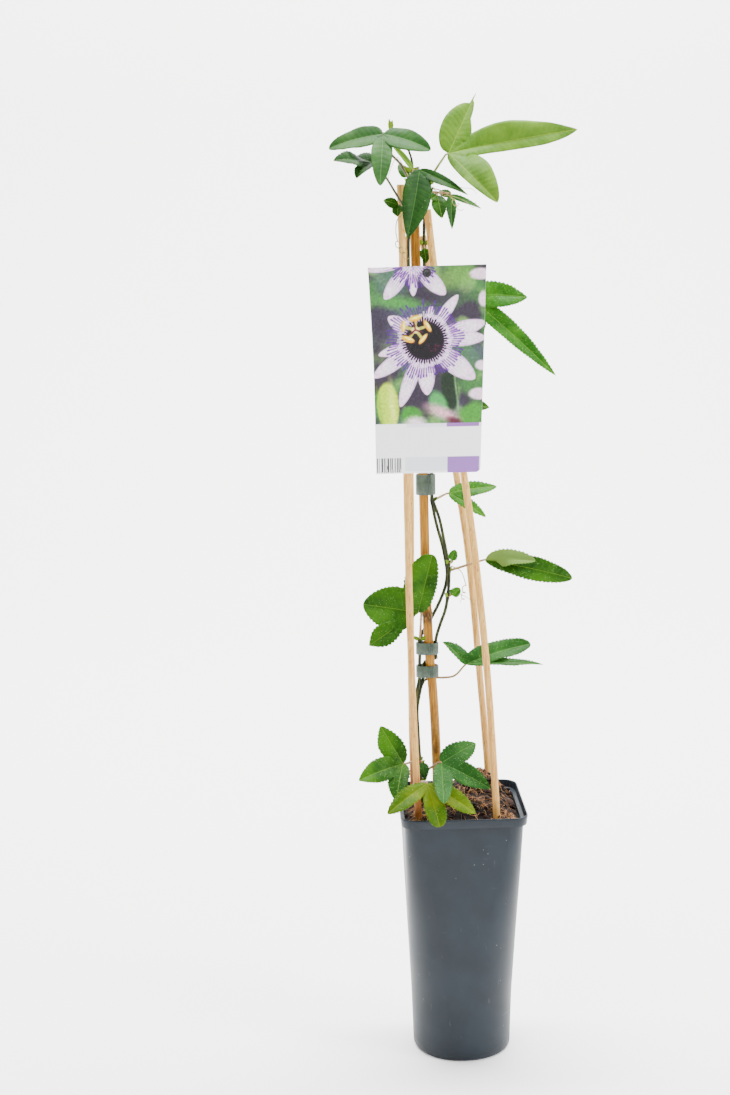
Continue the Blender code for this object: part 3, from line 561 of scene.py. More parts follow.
def smooth_path(points, step):
    """A Catmull-Rom curve through the points, sampled about every step."""
    ends = [2 * points[0] - points[1], *points, 2 * points[-1] - points[-2]]
    path = [points[0].copy()]
    for before, start, end, after in zip(ends, ends[1:], ends[2:], ends[3:]):
        pieces = max(1, round((end - start).length / step))
        for i in range(1, pieces + 1):
            t = i / pieces
            path.append(0.5 * (
                2 * start + (end - before) * t
                + (2 * before - 5 * start + 4 * end - after) * t ** 2
                + (3 * start - before - 3 * end + after) * t ** 3
            ))
    return path


def at_height(path, height):
    """The point of a rising path at this height."""
    for low, high in zip(path, path[1:]):
        if low.z <= height <= high.z:
            return low.lerp(high, (height - low.z) / (high.z - low.z))
    return path[-1]


def bump_at(value, centre, spread):
    return math.exp(-((value - centre) / spread) ** 2)


# ---------------------------------------------------------------- pot and substrate


def section(half_width, corner, height):
    """A square outline with round corners, anticlockwise seen from above."""
    points = []
    straight = half_width - corner
    for quarter in range(4):
        turn = Matrix.Rotation(math.pi / 2 * quarter, 3, "Z")
        for step in range(1, EDGE_STEPS):
            points.append(turn @ Vector((half_width, straight * (2 * step / EDGE_STEPS - 1), height)))
        centre = turn @ Vector((straight, straight, height))
        for step in range(CORNER_STEPS + 1):
            points.append(centre + polar(corner, math.pi / 2 * (quarter + step / CORNER_STEPS)))
    return points


def body_section(height, inset):
    """The outline of the pot below its rim at this height, moved in by the inset."""
    for (low, half, corner), (high, next_half, next_corner) in zip(POT_BODY, POT_BODY[1:]):
        if height / MM <= high + 1e-6:
            share = (height / MM - low) / (high - low)
            return section(
                (half + (next_half - half) * share) * MM - inset,
                (corner + (next_corner - corner) * share) * MM - inset, height,
            )
    raise ValueError("above the pot's body")


def make_pot():
    shape = Shape()
    top, foot = POT_HEIGHT, POT_HEIGHT - RIM_DEPTH
    heights = [0, 0.8, 3, *range(10, 208, 9), 206, foot / MM]
    rings = [body_section(z * MM, 0.6 * MM if z == 0 else 0) for z in heights]
    profile = (  # millimetres in from the rim's full width, and height: up outside, over the lip, down inside
        (1.6, foot), (0.9, foot + 0.1 * MM), (0.7, foot + 0.6 * MM), (0.4, foot + 6 * MM),
        (0.1, top - 2.2 * MM), (0, top - 1.4 * MM), (0, top - 0.6 * MM), (0.25, top - 0.15 * MM), (0.6, top),
        (1.0, top - 0.1 * MM), (1.2, top - 0.5 * MM),
        (1.6, foot + POT_WALL + 0.3 * MM), (1.9, foot + POT_WALL),
    )
    rings += [section(RIM_HALF_WIDTH - inset * MM, RIM_CORNER - inset * MM, z) for inset, z in profile]
    rings += [body_section(z * MM, POT_WALL) for z in reversed(heights[3:])]
    rings.append([Vector((p.x, p.y, POT_FLOOR)) for p in body_section(POT_FLOOR, POT_WALL)])
    shape.grid(rings, closed=True)
    shape.finish("pot_shell", [POT], "pot_plastic", "pot", sharp=40)
    make_pot_floor(rings[0])


def make_pot_floor(rim):
    """The underside with its ring of drainage holes, seen only from below, and the floor's inside."""
    shape = Shape()
    edge = sorted(rim, key=lambda p: math.atan2(p.y, p.x) % (2 * math.pi))
    for level, spread in ((0.0, 1.0), (POT_FLOOR, 0.985)):
        under = level == 0
        rows = [[Vector((p.x * t * spread, p.y * t * spread, level)) for p in edge] for t in (1, 0.92, 0.84)]
        shape.grid(rows[::-1] if under else rows, closed=True)
        for hole in range(DRAIN_HOLES):
            wedge(shape, hole, rows[-1], level, under)
    for angle in circle_angles(DRAIN_HOLES):
        centre = polar(DRAIN_RING_RADIUS, angle)
        wall = [[centre + polar(DRAIN_HOLE_RADIUS, a, z) for a in circle_angles(24)] for z in (POT_FLOOR, 0)]
        shape.grid(wall, closed=True)
    shape.finish("pot_floor", [POT], "pot_plastic", sharp=30)


def wedge(shape, hole, outline, level, under):
    """The part of the floor round one hole, out to the outline and in to the centre."""
    half_span = math.pi / DRAIN_HOLES
    middle = 2 * half_span * hole
    border = []
    for p in outline:
        off = (math.atan2(p.y, p.x) - middle + math.pi) % (2 * math.pi) - math.pi
        if abs(off) <= half_span + 1e-6:
            border.append((off, p))
    border = [p for _, p in sorted(border, key=lambda pair: pair[0])]
    loop = border + [polar(border[-1].length * t, middle + half_span, level) for t in (1, 0.75, 0.5, 0.25, 0)]
    loop += [polar(border[0].length * t, middle - half_span, level) for t in (0.25, 0.5, 0.75, 1)]
    centre = polar(DRAIN_RING_RADIUS, middle, level)
    rows = [loop, [centre + (p - centre).normalized() * DRAIN_HOLE_RADIUS for p in loop]]
    shape.grid(rows[::-1] if under else rows, closed=True)


def bumps(x, y, layer, scale):
    return noise.noise(Vector((x, y, layer)) * scale)


def substrate_height(x, y, share):
    """The height of the substrate at a share of the way from its middle out to the pot's wall."""
    dome = SUBSTRATE_RISE * (1 - share ** 3)
    away = (x - HEAP_CENTRE[0]) ** 2 + (y - HEAP_CENTRE[1]) ** 2
    heap = HEAP_HEIGHT * math.exp(-away / (2 * HEAP_SPREAD ** 2))
    lumps = LUMP_HEIGHT * bumps(x, y, 0, LUMP_SCALE)
    return SUBSTRATE_EDGE + dome + (heap + lumps) * min(1, 4 * (1 - share))


def make_substrate():
    """The rough top of the substrate, and the bark pieces and coir fibres that lie on it."""
    random.seed(11)
    edge = body_section(SUBSTRATE_EDGE, POT_WALL)
    rows, values = [], []
    for step in range(SUBSTRATE_RINGS):
        share = 1 - step / SUBSTRATE_RINGS
        row = []
        for point in edge:
            x, y = point.x * share, point.y * share
            rough = 1.6 * MM * bumps(x, y, 3, 420) + 0.8 * MM * bumps(x, y, 5, 900)
            row.append(Vector((x, y, substrate_height(x, y, share) + rough - 1.2 * MM)))
            values.append((0.25 + 0.5 * bumps(x, y, 7, 300), max(0, bumps(x, y, 9, 120)), 0))
        rows.append(row)
    shape = Shape()
    shape.grid(rows, values=values, closed=True)
    shape.finish("substrate_top", [SOIL], "substrate", "substrate", attribute="shade", sharp=180)

    bark, fibres = Shape(), Shape()
    for count, small, large in ((950, 1.2, 3.4), (70, 3.4, 6.0)):
        for _ in range(count):
            bark_piece(bark, surface_spot(edge), random.uniform(small, large) * MM)
    for _ in range(900):
        fibre(fibres, surface_spot(edge))
    bark.finish("bark_pieces", [BARK], "substrate", attribute="shade", sharp=35)
    fibres.finish("coir_fibres", [COIR], "substrate", attribute="shade", sharp=180)


def surface_spot(edge):
    """A random point on the substrate, evenly spread."""
    share = math.sqrt(random.random()) * 0.96
    rim = random.choice(edge)
    x = rim.x * share + random.uniform(-2, 2) * MM * share
    y = rim.y * share + random.uniform(-2, 2) * MM * share
    return Vector((x, y, substrate_height(x, y, share)))


def bark_piece(shape, spot, size):
    """A flake or chunk: a squashed, knocked-about lump of seven sides."""
    turn = (
        Matrix.Rotation(random.uniform(0, 6.28), 3, "Z") @ Matrix.Rotation(random.uniform(-0.9, 0.9), 3, "X")
        @ Matrix.Rotation(random.uniform(-0.6, 0.6), 3, "Y")
    )
    half = Vector((size, size * random.uniform(0.35, 0.8), size * random.uniform(0.2, 0.5)))
    rings = []
    for z, width in ((-1, 0.55), (-0.35, 1.0), (0.4, 0.95), (1, 0.5)):
        ring = [polar(width * random.uniform(0.75, 1.1), angle, z) for angle in circle_angles(7)]
        rings.append([spot + turn @ (half * point) for point in ring])
    shape.capped(rings, (random.uniform(0, 1) ** 1.6, max(0, random.uniform(-0.7, 1)), 0))


def fibre(shape, spot):
    """A coir fibre: a thin bent thread that lies on the substrate and stays inside the pot."""
    heading = random.uniform(0, 2 * math.pi)
    length = random.uniform(4, 13) * MM
    bend = random.uniform(-1.6, 1.6)
    lift = random.uniform(0.2, 2.6) * MM
    path = []
    for t in [i / 7 for i in range(8)]:
        point = spot + polar(length * (t - 0.5), heading + bend * (t - 0.5))
        x, y = (max(-FIBRE_LIMIT, min(FIBRE_LIMIT, c)) for c in point.xy)
        share = min(1, max(abs(x), abs(y)) / SUBSTRATE_HALF_WIDTH)
        path.append(Vector((x, y, substrate_height(x, y, share) + lift * math.sin(math.pi * t) + 0.5 * MM)))
    radius = random.uniform(0.09, 0.2) * MM
    shade = (random.uniform(0.3, 1), max(0, random.uniform(-0.4, 1)), 0)
    shape.tube(path, [radius * (1 - 0.5 * abs(2 * i / 7 - 1)) for i in range(8)], sides=4, value=shade)


# ---------------------------------------------------------------- canes, stems, clips and tendrils


def make_canes():
    for name, points in CANES.items():
        path = smooth_path(in_metres(points), 6 * MM)
        layer = ord(name[5])
        rough = [0.05 * noise.noise(Vector((0, layer, point.z * 60))) for point in path]
        radii = [CANE_RADIUS * (0.985 + swell) for swell in rough]
        shape = Shape()
        shape.tube(ended(path), [radii[0], *radii[:-1], radii[-1] * 0.98, radii[-1] * 0.86], sides=20)
        shape.finish(name + "_stick", [CANE], "cane_wood", name, sharp=60)
    path = smooth_path(in_metres(BAMBOO), 2.5 * MM)
    radii = []
    for point in path:
        ridge = 0.13 * bump_at(point.z, BAMBOO_NODE_HEIGHT, 0.0022)
        groove = 0.05 * bump_at(point.z, BAMBOO_NODE_HEIGHT + 0.005, 0.0018)
        flare = 0.04 * bump_at(point.z, BAMBOO_NODE_HEIGHT, 0.012)
        rough = 0.02 * noise.noise(Vector((3, 1, point.z * 50)))
        radii.append(BAMBOO_RADIUS * (0.99 + ridge - groove + flare + rough))
    shape = Shape()
    shape.tube(ended(path), [radii[0], *radii[:-1], radii[-1] * 0.98, radii[-1] * 0.88], sides=28)
    shape.finish("cane_bamboo_stick", [BAMBOO_WOOD], "bamboo", "cane_bamboo", sharp=60)


def ended(path):
    """The path with a short last step, which makes room for a rounded edge at its end."""
    last = path[-1]
    back = (path[-2] - last).normalized()
    return [*path[:-1], last + back * 0.5 * MM, last + back * 0.15 * MM, last]


def make_stems():
    """Both stems, thicker where a leaf leaves them and thinner towards the top, and the paths they follow."""
    paths = {}
    for name, points in STEMS.items():
        path = smooth_path(in_metres(points), 3 * MM)
        paths[name] = path
        nodes = [leaf.node * MM for leaf in LEAVES.values() if leaf.carrier == name]
        radii = []
        for i, point in enumerate(path):
            swell = max(bump_at(point.z, node, 0.0022) for node in nodes)
            left = (len(path) - 1 - i) / 14
            taper = min(1, 0.35 + 0.65 * left) * (1.35 - 0.4 * max(0, point.z - 0.2))
            radii.append(STEM_RADIUS * taper * (1 + 0.4 * swell))
        shape = Shape()
        shape.tube(path, radii, sides=12)
        shape.finish(name + "_round", [STEM], "stem", name, sharp=70)
    return paths


def make_stipules(stem_paths):
    """Small clasping leaflets where the leaves leave the stems, and the folded tip of the longer shoot."""
    shape = Shape()
    for index, leaf in enumerate(LEAVES.values()):
        node = at_height(stem_paths[leaf.carrier], leaf.node * MM)
        away = Vector(leaf.base) * MM - node
        away.z = 0
        away.normalize()
        for side in (UP.cross(away), -UP.cross(away)):
            tip = node + away * 2.2 * MM + side * (4.2 + index % 3) * MM + UP * 4 * MM
            sliver(shape, node + away * 0.8 * MM, tip, 1.7 * MM, away)
    tip = stem_paths["stem_a"][-1]
    for lean in (Vector((-0.5, -0.6, 3)), Vector((0.6, -0.3, 2.6)), Vector((0.1, 0.8, 2.2))):
        sliver(shape, tip - UP * 3 * MM, tip + lean * 2.4 * MM, 1.5 * MM, Vector((0, -1, 0.2)))
    shape.finish("stipules", [LEAF_LOOKS["young"][0]], "leaf", attribute="blade", sharp=180)


def sliver(shape, start, end, half_width, facing):
    """A small pointed leaflet, folded along its middle."""
    along = (end - start).normalized()
    across = facing.cross(along).normalized()
    up = along.cross(across)
    rows, values = [], []
    for t in [i / 8 for i in range(9)]:
        wide = half_width * math.sin(math.pi * t ** 0.8) ** 0.8 + 0.1 * MM * (1 - t)
        mid = start.lerp(end, t) + up * 0.6 * MM * math.sin(math.pi * t)
        sides = [wide * side for side in (-1, -0.5, 0, 0.5, 1)]
        rows.append([mid + across * side - up * abs(side) * 0.35 for side in sides])
        values += [(abs(side) / MM, t * (end - start).length / MM, 0) for side in sides]
    shape.grid(rows, values=values)
    shape.grid([[p - up * 0.15 * MM for p in row] for row in rows][::-1], values=values)


def make_clips():
    """Soft plastic bands with rounded edges, and on the front a few upright ridges where they fasten."""
    edge = 0.35 * MM
    for name, (centre, half_width, height) in CLIPS.items():
        middle, half, reach = Vector(centre) * MM, height * MM / 2, half_width * MM
        profile = (  # outward and up, round the band's cross-section
            (0, -half + edge), (edge, -half), (CLIP_WALL - edge, -half), (CLIP_WALL, -half + edge),
            (CLIP_WALL, half - edge), (CLIP_WALL - edge, half), (edge, half), (0, half - edge),
            (0, -half + edge),
        )
        shape = Shape()
        rows = []
        for out, up in profile:
            row = []
            for side in (1, -1):
                end = middle + Vector((side * (reach - CLIP_HALF_DEPTH), 0, up))
                turns = [math.pi * (step / 16 - side / 2) for step in range(17)]
                row += [end + polar(CLIP_HALF_DEPTH + out, turn) for turn in turns]
            rows.append(row)
        shape.grid(rows, closed=True)
        levels = (-half + edge, -half + 3 * edge, 0, half - 3 * edge, half - edge)
        for across in (0.15, 0.35, 0.55):
            ridge = middle + Vector((across * reach, -CLIP_HALF_DEPTH - CLIP_WALL, 0))
            path = [ridge + UP * level for level in levels]
            shape.tube(path, [radius * MM for radius in (0.1, 0.45, 0.45, 0.45, 0.1)])
        shape.finish(name + "_band", [CLIP], "clip_plastic", name, sharp=50)


def coil_path(lead, end, radius, turns):
    """A lead-in and then a coil that drifts on to the end."""
    coil = []
    count = round(turns * 26)
    for i in range(1, count + 1):
        angle = 2 * math.pi * turns * i / count
        ring = Vector((math.cos(angle) - 1, 0.35 * math.sin(angle), math.sin(angle))) * radius * MM
        coil.append(lead[-1].lerp(end, i / count) + ring)
    return smooth_path(lead, 1.5 * MM) + coil


def make_tendrils():
    for name, (lead, end, radius, turns) in TENDRILS.items():
        path = coil_path(in_metres(lead), Vector(end) * MM, radius, turns)
        shape = Shape()
        shape.tube(path, [TENDRIL_RADIUS * (1 - 0.45 * i / len(path)) for i in range(len(path))], sides=7)
        shape.finish(name + "_coil", [TENDRIL], "tendril", name, sharp=180)
    for name, points in TENDRIL_THREADS.items():
        path = smooth_path(in_metres(points), 1.5 * MM)
        shape = Shape()
        shape.tube(path, [THREAD_RADIUS * (1 - 0.5 * i / len(path)) for i in range(len(path))], sides=6)
        shape.finish(name, [TENDRIL], "tendril", sharp=180)


# ---------------------------------------------------------------- label


def label_point(x, height):
    """A point just before the label's front, from its x and its height along the card, both in metres."""
    lean = Matrix.Rotation(math.pi / 2 - LABEL_LEAN, 3, "X")
    forward = LABEL_THICKNESS / 2 + 0.12 * MM
    return LABEL_HOLE + lean @ Vector((x - LABEL_HOLE.x, height - LABEL_HOLE.z, forward))


def edge_x(edge, height):
    points = sorted(edge, key=lambda point: point[1])
    return float(np.interp(height, [z for _, z in points], [x for x, _ in points]))


def make_label():
    """The print is a fine sheet just in front of the card, with a colour at each of its points."""
    left_top, right_top = LABEL_LEFT[0][1], LABEL_RIGHT[-1][1]
    points, p, q = [], [], []
    for j in range(PRINT_ROWS + 1):
        for i in range(PRINT_COLUMNS + 1):
            across, up = i / PRINT_COLUMNS, j / PRINT_ROWS
            height = PRINT_BOTTOM + up * (left_top + (right_top - left_top) * across - PRINT_BOTTOM)
            left = edge_x(LABEL_LEFT, height) + PRINT_INSET
            x = left + (edge_x(LABEL_RIGHT, height) - PRINT_INSET - left) * across
            points.append(label_point(x * MM, height * MM))
            p.append(x - PRINT_ORIGIN[0])
            q.append(height - PRINT_ORIGIN[1])
    hole_x, hole_z = LABEL_HOLE.x / MM - PRINT_ORIGIN[0], LABEL_HOLE.z / MM - PRINT_ORIGIN[1]
    faces = []
    for j in range(PRINT_ROWS):
        for i in range(PRINT_COLUMNS):
            a = j * (PRINT_COLUMNS + 1) + i
            if math.hypot(p[a] - hole_x, q[a] - hole_z) > PRINT_HOLE_RADIUS:
                faces.append((a, a + 1, a + PRINT_COLUMNS + 2, a + PRINT_COLUMNS + 1))
    shape = Shape()
    shape.add(points, faces)
    obj = shape.finish("label_print", [PRINT], "printed_card", sharp=180)
    inks = obj.data.attributes.new("print", "FLOAT_COLOR", "POINT")
    rgb = picture(np.array(p), np.array(q))
    lit = np.where(rgb <= 0.04, rgb / 12.92, ((rgb + 0.055) / 1.055) ** 2.4)
    inks.data.foreach_set("color", np.column_stack([lit, np.ones(len(p))]).astype(np.float32).ravel())
    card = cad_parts["label"]
    card.data.materials.clear()
    card.data.materials.append(CARD)


GROUND_OVALS = (  # centre, half sizes, blur, turn, strength and ink: first shadows and buds, then leaves
    (6, 118, 8, 18, 12, 0, 0.8, (94, 85, 98)), (48, 142, 26, 9, 12, 0, 0.8, (94, 85, 99)),
    (44, 68, 18, 20, 10, 0, 0.85, (94, 85, 98)), (20, 138, 24, 5, 6, -8, 1, (116, 156, 110)),
    (66, 158, 18, 8, 8, 20, 0.8, (138, 166, 112)), (88, 160, 9, 4.6, 1.6, 0, 1, (232, 214, 228)),
    (86, 64, 8.5, 4.8, 1.6, 0, 1, (232, 214, 228)), (88, 87, 5, 4, 1.6, 0, 1, (232, 214, 228)),
    (90, 140, 4, 6, 1.6, 0, 1, (232, 214, 228)), (62, 68, 6.5, 17, 1.5, 6, 1, (66, 84, 66)),
    (67, 70, 0.8, 15, 1.2, 6, 0.7, (176, 196, 168)), (53, 55, 7, 12, 3, 20, 1, (118, 168, 124)),
    (31, 46, 9, 8, 3, -30, 1, (104, 152, 92)), (80, 48, 12, 8, 4, 30, 1, (112, 156, 96)),
    (34, 41, 8, 5, 5, 0, 1, (232, 218, 226)), (56, 49, 13, 4.5, 5, -24, 1, (212, 184, 190)),
    (66, 42, 6, 2.6, 3, -20, 1, (120, 84, 96)), (12, 55, 8.8, 19, 1.4, 4, 1, (186, 206, 104)),
    (15.5, 55, 2.4, 17, 3.5, 4, 0.8, (222, 232, 158)), (5.5, 52, 1.6, 15, 2.5, 8, 0.6, (148, 178, 84)),
)
PETALS_BEHIND = (  # direction in degrees, length and half width
    (190, 37, 3.6), (232, 37, 5.8), (271, 27, 3.6), (315, 37, 6.4),
)
PETALS_IN_FRONT = (
    (78, 28, 4), (16, 51, 6.4), (197, 39, 4.4), (147, 35, 6.2), (249, 57, 5.6), (53, 45, 4.6),
    (215, 51, 6.0), (2, 49, 6.0), (272, 44, 7.0), (322, 51, 8.4),
)
PANEL_INK = (251, 251, 253)
PANEL_BOXES = (  # left, right, bottom, top and ink: the bare text area, its coloured tab and the bottom strip
    (-9, 99, -9, 40.5, PANEL_INK), (27, 99, 37.7, 40.5, (232, 226, 240)),
    (59.5, 85.5, 37.7, 40.5, (142, 92, 168)), (-9, 99, 2, 13.2, (224, 228, 238)),
    (59.5, 85.5, -9, 13.2, (142, 96, 172)), (-9, 25, -9, 13.2, PANEL_INK),
)


def picture(p, q):
    """A generic picture of a passion flower over a plain white panel.

    It gives a colour from 0 to 1 for each point p across and q up, in millimetres.
    """
    ink = np.zeros((len(p), 3))
    blotch = {
        seed: np.array([noise.noise(Vector((x * scale, y * scale, seed))) for x, y in zip(p, q)])
        for seed, scale in ((1, 0.045), (2, 0.07), (3, 0.5), (4, 0.03))
    }

    def lay(mask, colour):
        mask = np.clip(mask, 0, 1)[:, None]
        ink[:] = ink * (1 - mask) + np.array(colour) / 255 * mask

    def soft(value, width=0.7):
        return np.clip(0.5 + value / width, 0, 1)

    def turned(x, y, degrees):
        c, s = math.cos(math.radians(degrees)), math.sin(math.radians(degrees))
        return (p - x) * c + (q - y) * s, (q - y) * c - (p - x) * s

    def oval(x, y, wide, tall, blur=0.8, degrees=0):
        a, b = turned(x, y, degrees)
        return soft((1 - np.hypot(a / wide, b / tall)) * min(wide, tall), blur)

    def petal(x, y, degrees, length, half, start):
        a, b = turned(x, y, degrees)
        t = np.clip(a / length, 0, 1)
        wide = half * np.sin(np.pi * np.clip(t, 0.001, 0.999) ** 1.25) ** 0.55
        body = soft(wide - np.abs(b)) * (a > start) * (a < length)
        lay(body, (242, 232, 242))
        rim = soft(0.22 - np.abs(np.abs(b) / np.maximum(wide, 0.2) - 1), 0.25)
        lay(body * rim * 0.45, (206, 170, 214))
        lay(body * np.clip(t * 3 - 2.25, 0, 1) * 0.5, (214, 176, 206))
        streaks = np.clip(np.sin(b * 3.4 + 0.4 * np.sin(a * 0.8)) * 1.6, 0, 1) * np.clip(1.45 - t * 1.9, 0, 1)
        lay(body * streaks * 0.95, (122, 76, 150))

    def corona(x, y, inner, outer, count, seed):
        """A ring of filaments, violet towards their ragged ends."""
        rand = np.random.RandomState(seed)
        r, turn = np.hypot(p - x, q - y), np.arctan2(q - y, p - x) / (2 * np.pi) % 1 * count
        which = turn.astype(int) % count
        reach = outer + rand.uniform(-3.5, 3.0, count)[which]
        line = soft(0.24 - np.abs(turn % 1 - 0.5 + rand.uniform(-0.15, 0.15, count)[which]), 0.3)
        share = (r - inner) / (reach - inner)
        lay(line * (share > 0) * (share < 1) * 0.95, (126, 80, 152))
        lay(line * (share > -0.3) * (share < 0.34), (238, 224, 242))
        lay(line * (share > 0.8) * (share < 1) * 0.7, (118, 76, 148))

    lay(np.ones(len(p)), (98, 92, 102))
    lay(soft(blotch[1] + 0.05, 0.35) * 0.95, (108, 142, 104))
    lay(soft(blotch[2] - 0.22, 0.3) * 0.85, (148, 174, 128))
    lay(soft(blotch[4] - 0.12, 0.3) * 0.5, (122, 128, 140))
    for *place, strength, colour in GROUND_OVALS:
        lay(oval(*place) * strength, colour)
    flower = 42.3, 107.5
    for centre, petals, start, filaments in (
        ((33, 170), PETALS_BEHIND, 4, (5, 19, 54, 5)), (flower, PETALS_IN_FRONT, 9, (18, 30, 84, 8)),
    ):
        for degrees, length, half in petals:
            petal(*centre, degrees, length, half, start)
        corona(*centre, *filaments)
    r = np.hypot(p - flower[0], q - flower[1])
    turn = np.arctan2(q - flower[1], p - flower[0])
    lay(soft(18.4 - r + 0.8 * np.sin(turn * 31)), (40, 18, 44))
    pale = soft(r - 15.4, 1.5) * soft(20.5 - r, 2.0) * np.clip(np.sin(turn * 52) * 2.2 - 0.9, 0, 1)
    lay(pale, (226, 206, 232))
    blush = oval(flower[0] + 8, flower[1] - 6, 6, 4, 3) * np.clip(0.4 + 2 * blotch[3], 0, 1)
    lay(blush * 0.6, (140, 70, 110))

    heart = flower[0] - 7.5, flower[1] + 8.5
    for k in range(5):
        degrees = 18 + 72 * k
        away = polar(1, math.radians(degrees))
        x, y = heart[0] + 10.2 * away.x, heart[1] + 9.2 * away.y
        lay(oval((x + heart[0]) / 2, (y + heart[1]) / 2, 5.4, 1.3, 0.8, degrees), (190, 190, 120))
        lay(oval(x, y, 1.9 + 0.5 * (k % 2), 5.6 - 0.5 * (k % 3), 0.8, degrees + 14), (222, 184, 84))
        lay(oval(x + 0.5, y + 0.6, 0.9, 4.2, 0.8, degrees + 14), (250, 236, 168))
    lay(oval(*heart, 3.2, 2.8, 1.2), (238, 230, 176))
    for degrees in (100, 220, 340):
        away = polar(3.2, math.radians(degrees))
        lay(oval(heart[0] + away.x, heart[1] + away.y, 3.6, 0.8, 0.6, degrees), (120, 70, 88))

    ink[:] = np.clip(ink * (1 + 0.10 * blotch[3][:, None]), 0, 1)
    ink[:] = ink ** (2.3 - 1.3 * ink)
    grey = ink.mean(axis=1)[:, None]
    ink[:] = np.clip(grey + (ink - grey) * 1.2, 0, 1)

    for left, right, bottom, top, colour in PANEL_BOXES:
        lay((p > left) & (p < right) & (q > bottom) & (q < top), colour)
    rand = random.Random(4)
    bar = 2.4
    while bar < 22.5:
        wide = rand.choice((0.5, 0.9, 0.9, 1.4))
        lay((q < 12.6) & (q > 0.8) & (p > bar) & (p < bar + wide), (8, 10, 16))
        bar += wide + rand.choice((0.5, 0.9, 1.2))
    return np.clip(ink, 0, 1)


def make_tie():
    """The black tie: a dished head before the hole, and its hook round the front right cane."""
    cane = at_height(smooth_path(in_metres(CANES["cane_front_right"]), 6 * MM), LABEL_HOLE.z)
    front = LABEL_HOLE.y - LABEL_THICKNESS / 2 - 0.3 * MM - TIE_HEAD_THICKNESS
    start = math.atan2(LABEL_HOLE.y + 6 * MM - cane.y, LABEL_HOLE.x - cane.x)
    path = []
    for y in (front + TIE_HEAD_THICKNESS / 2, LABEL_HOLE.y + 3 * MM):
        path.append(Vector((LABEL_HOLE.x, y, LABEL_HOLE.z)))
    hook = Vector((cane.x, cane.y, LABEL_HOLE.z))
    path += [hook + polar(CANE_RADIUS + 0.3 * MM + TIE_RADIUS, start + TIE_WRAP * i / 40) for i in range(41)]
    shape = Shape()
    shape.tube(path, [TIE_RADIUS] * len(path), sides=12)
    centre = Vector((LABEL_HOLE.x, front, LABEL_HOLE.z))
    upright = Matrix.Rotation(math.pi / 2, 3, "X")
    rings = []
    for out, back in TIE_HEAD:
        rings.append([centre + upright @ polar(out * MM, angle, -back * MM) for angle in circle_angles(32)])
    shape.grid(rings, closed=True)
    shape.finish("label_tie_button", [TIE], "tie_plastic", "label_tie", sharp=60)


# ---------------------------------------------------------------- leaves


def lobe_span(lobe, base):
    return Vector(lobe.tip) * MM - base


def midrib(base, facing, lobe, share):
    """The point and the direction of a lobe's arched midrib at a share of its length."""
    tip = Vector(lobe.tip) * MM
    control = (base + tip) / 2 + facing * lobe.arch * MM
    point = base * (1 - share) ** 2 + control * 2 * share * (1 - share) + tip * share ** 2
    along = (control - base) * (1 - share) + (tip - control) * share
    return point, along.normalized()


def outline_width(lobe, share, start_width):
    inside = min(1.0, max(0.0, share / lobe.strap))
    hump = math.sin(math.pi * inside ** lobe.peak) ** lobe.power if 0 < inside < 1 else 0.0
    strap = 1.5 * MM * min(1, 2 * share) * (1 - max(0.0, share) ** 6) if lobe.strap < 1 else 0.0
    return max(lobe.half_width * MM * hump, strap) + start_width * (1 - share) ** 3


def teeth_at(lobe_length, share, leaf):
    """How far the rounded teeth stand out along the edge, fading at both ends of the lobe."""
    if not leaf.teeth:
        return 0.0
    pitch, size = (3.3 * MM, 1.0) if lobe_length > LARGE_LOBE else (1.8 * MM, 0.6)
    along = share * lobe_length / pitch
    wave = (along - math.floor(along)) ** 0.7
    return size * leaf.teeth * MM * (wave * (1 - wave) * 4 - 0.5) * min(1, 5 * share, 5 * (1 - share))


def edge_point(leaf, lobe, base, facing, share, side, sinus):
    """A point of a lobe's edge. sinus is where it parts from the next lobe on that side, if there is one."""
    point, along = midrib(base, facing, lobe, share)
    across = facing.cross(along).normalized() * side
    up = along.cross(facing.cross(along)).normalized()
    turn = Matrix.Rotation(math.radians(lobe.twist) * share, 3, along)
    fold = math.radians(lobe.fold) * min(1, 3 * share)
    outward = turn @ (across * math.cos(fold) + up * math.sin(fold))
    length = lobe_span(lobe, base).length
    factor = lobe.left if side == 1 else lobe.right
    if side == -1:
        lobe = lobe._replace(peak=lobe.peak * lobe.late)
    if sinus is None:
        width = outline_width(lobe, share, PETIOLE_WIDTH / 2) * factor
        return point + outward * (width + teeth_at(length, share, leaf))
    web_share = leaf.joined * MM / length
    web_point = midrib(base, facing, lobe, web_share)[0]
    free = (share - web_share) / (1 - web_share)
    blend = min(1, free * 2.5)
    outward = ((sinus - web_point).normalized() * (1 - blend) + outward * blend).normalized()
    width = outline_width(lobe, free, (sinus - web_point).length) * (1 + (factor - 1) * blend)
    return point + outward * (width + teeth_at(length, free, leaf) * blend)


def petiole_path(leaf, base, facing, middle, stem_path):
    node = at_height(stem_path, leaf.node * MM)
    hook = base - middle * 2.5 * MM - facing * 1.5 * MM
    return smooth_path([node, *in_metres(leaf.bends), hook, base], 2 * MM)


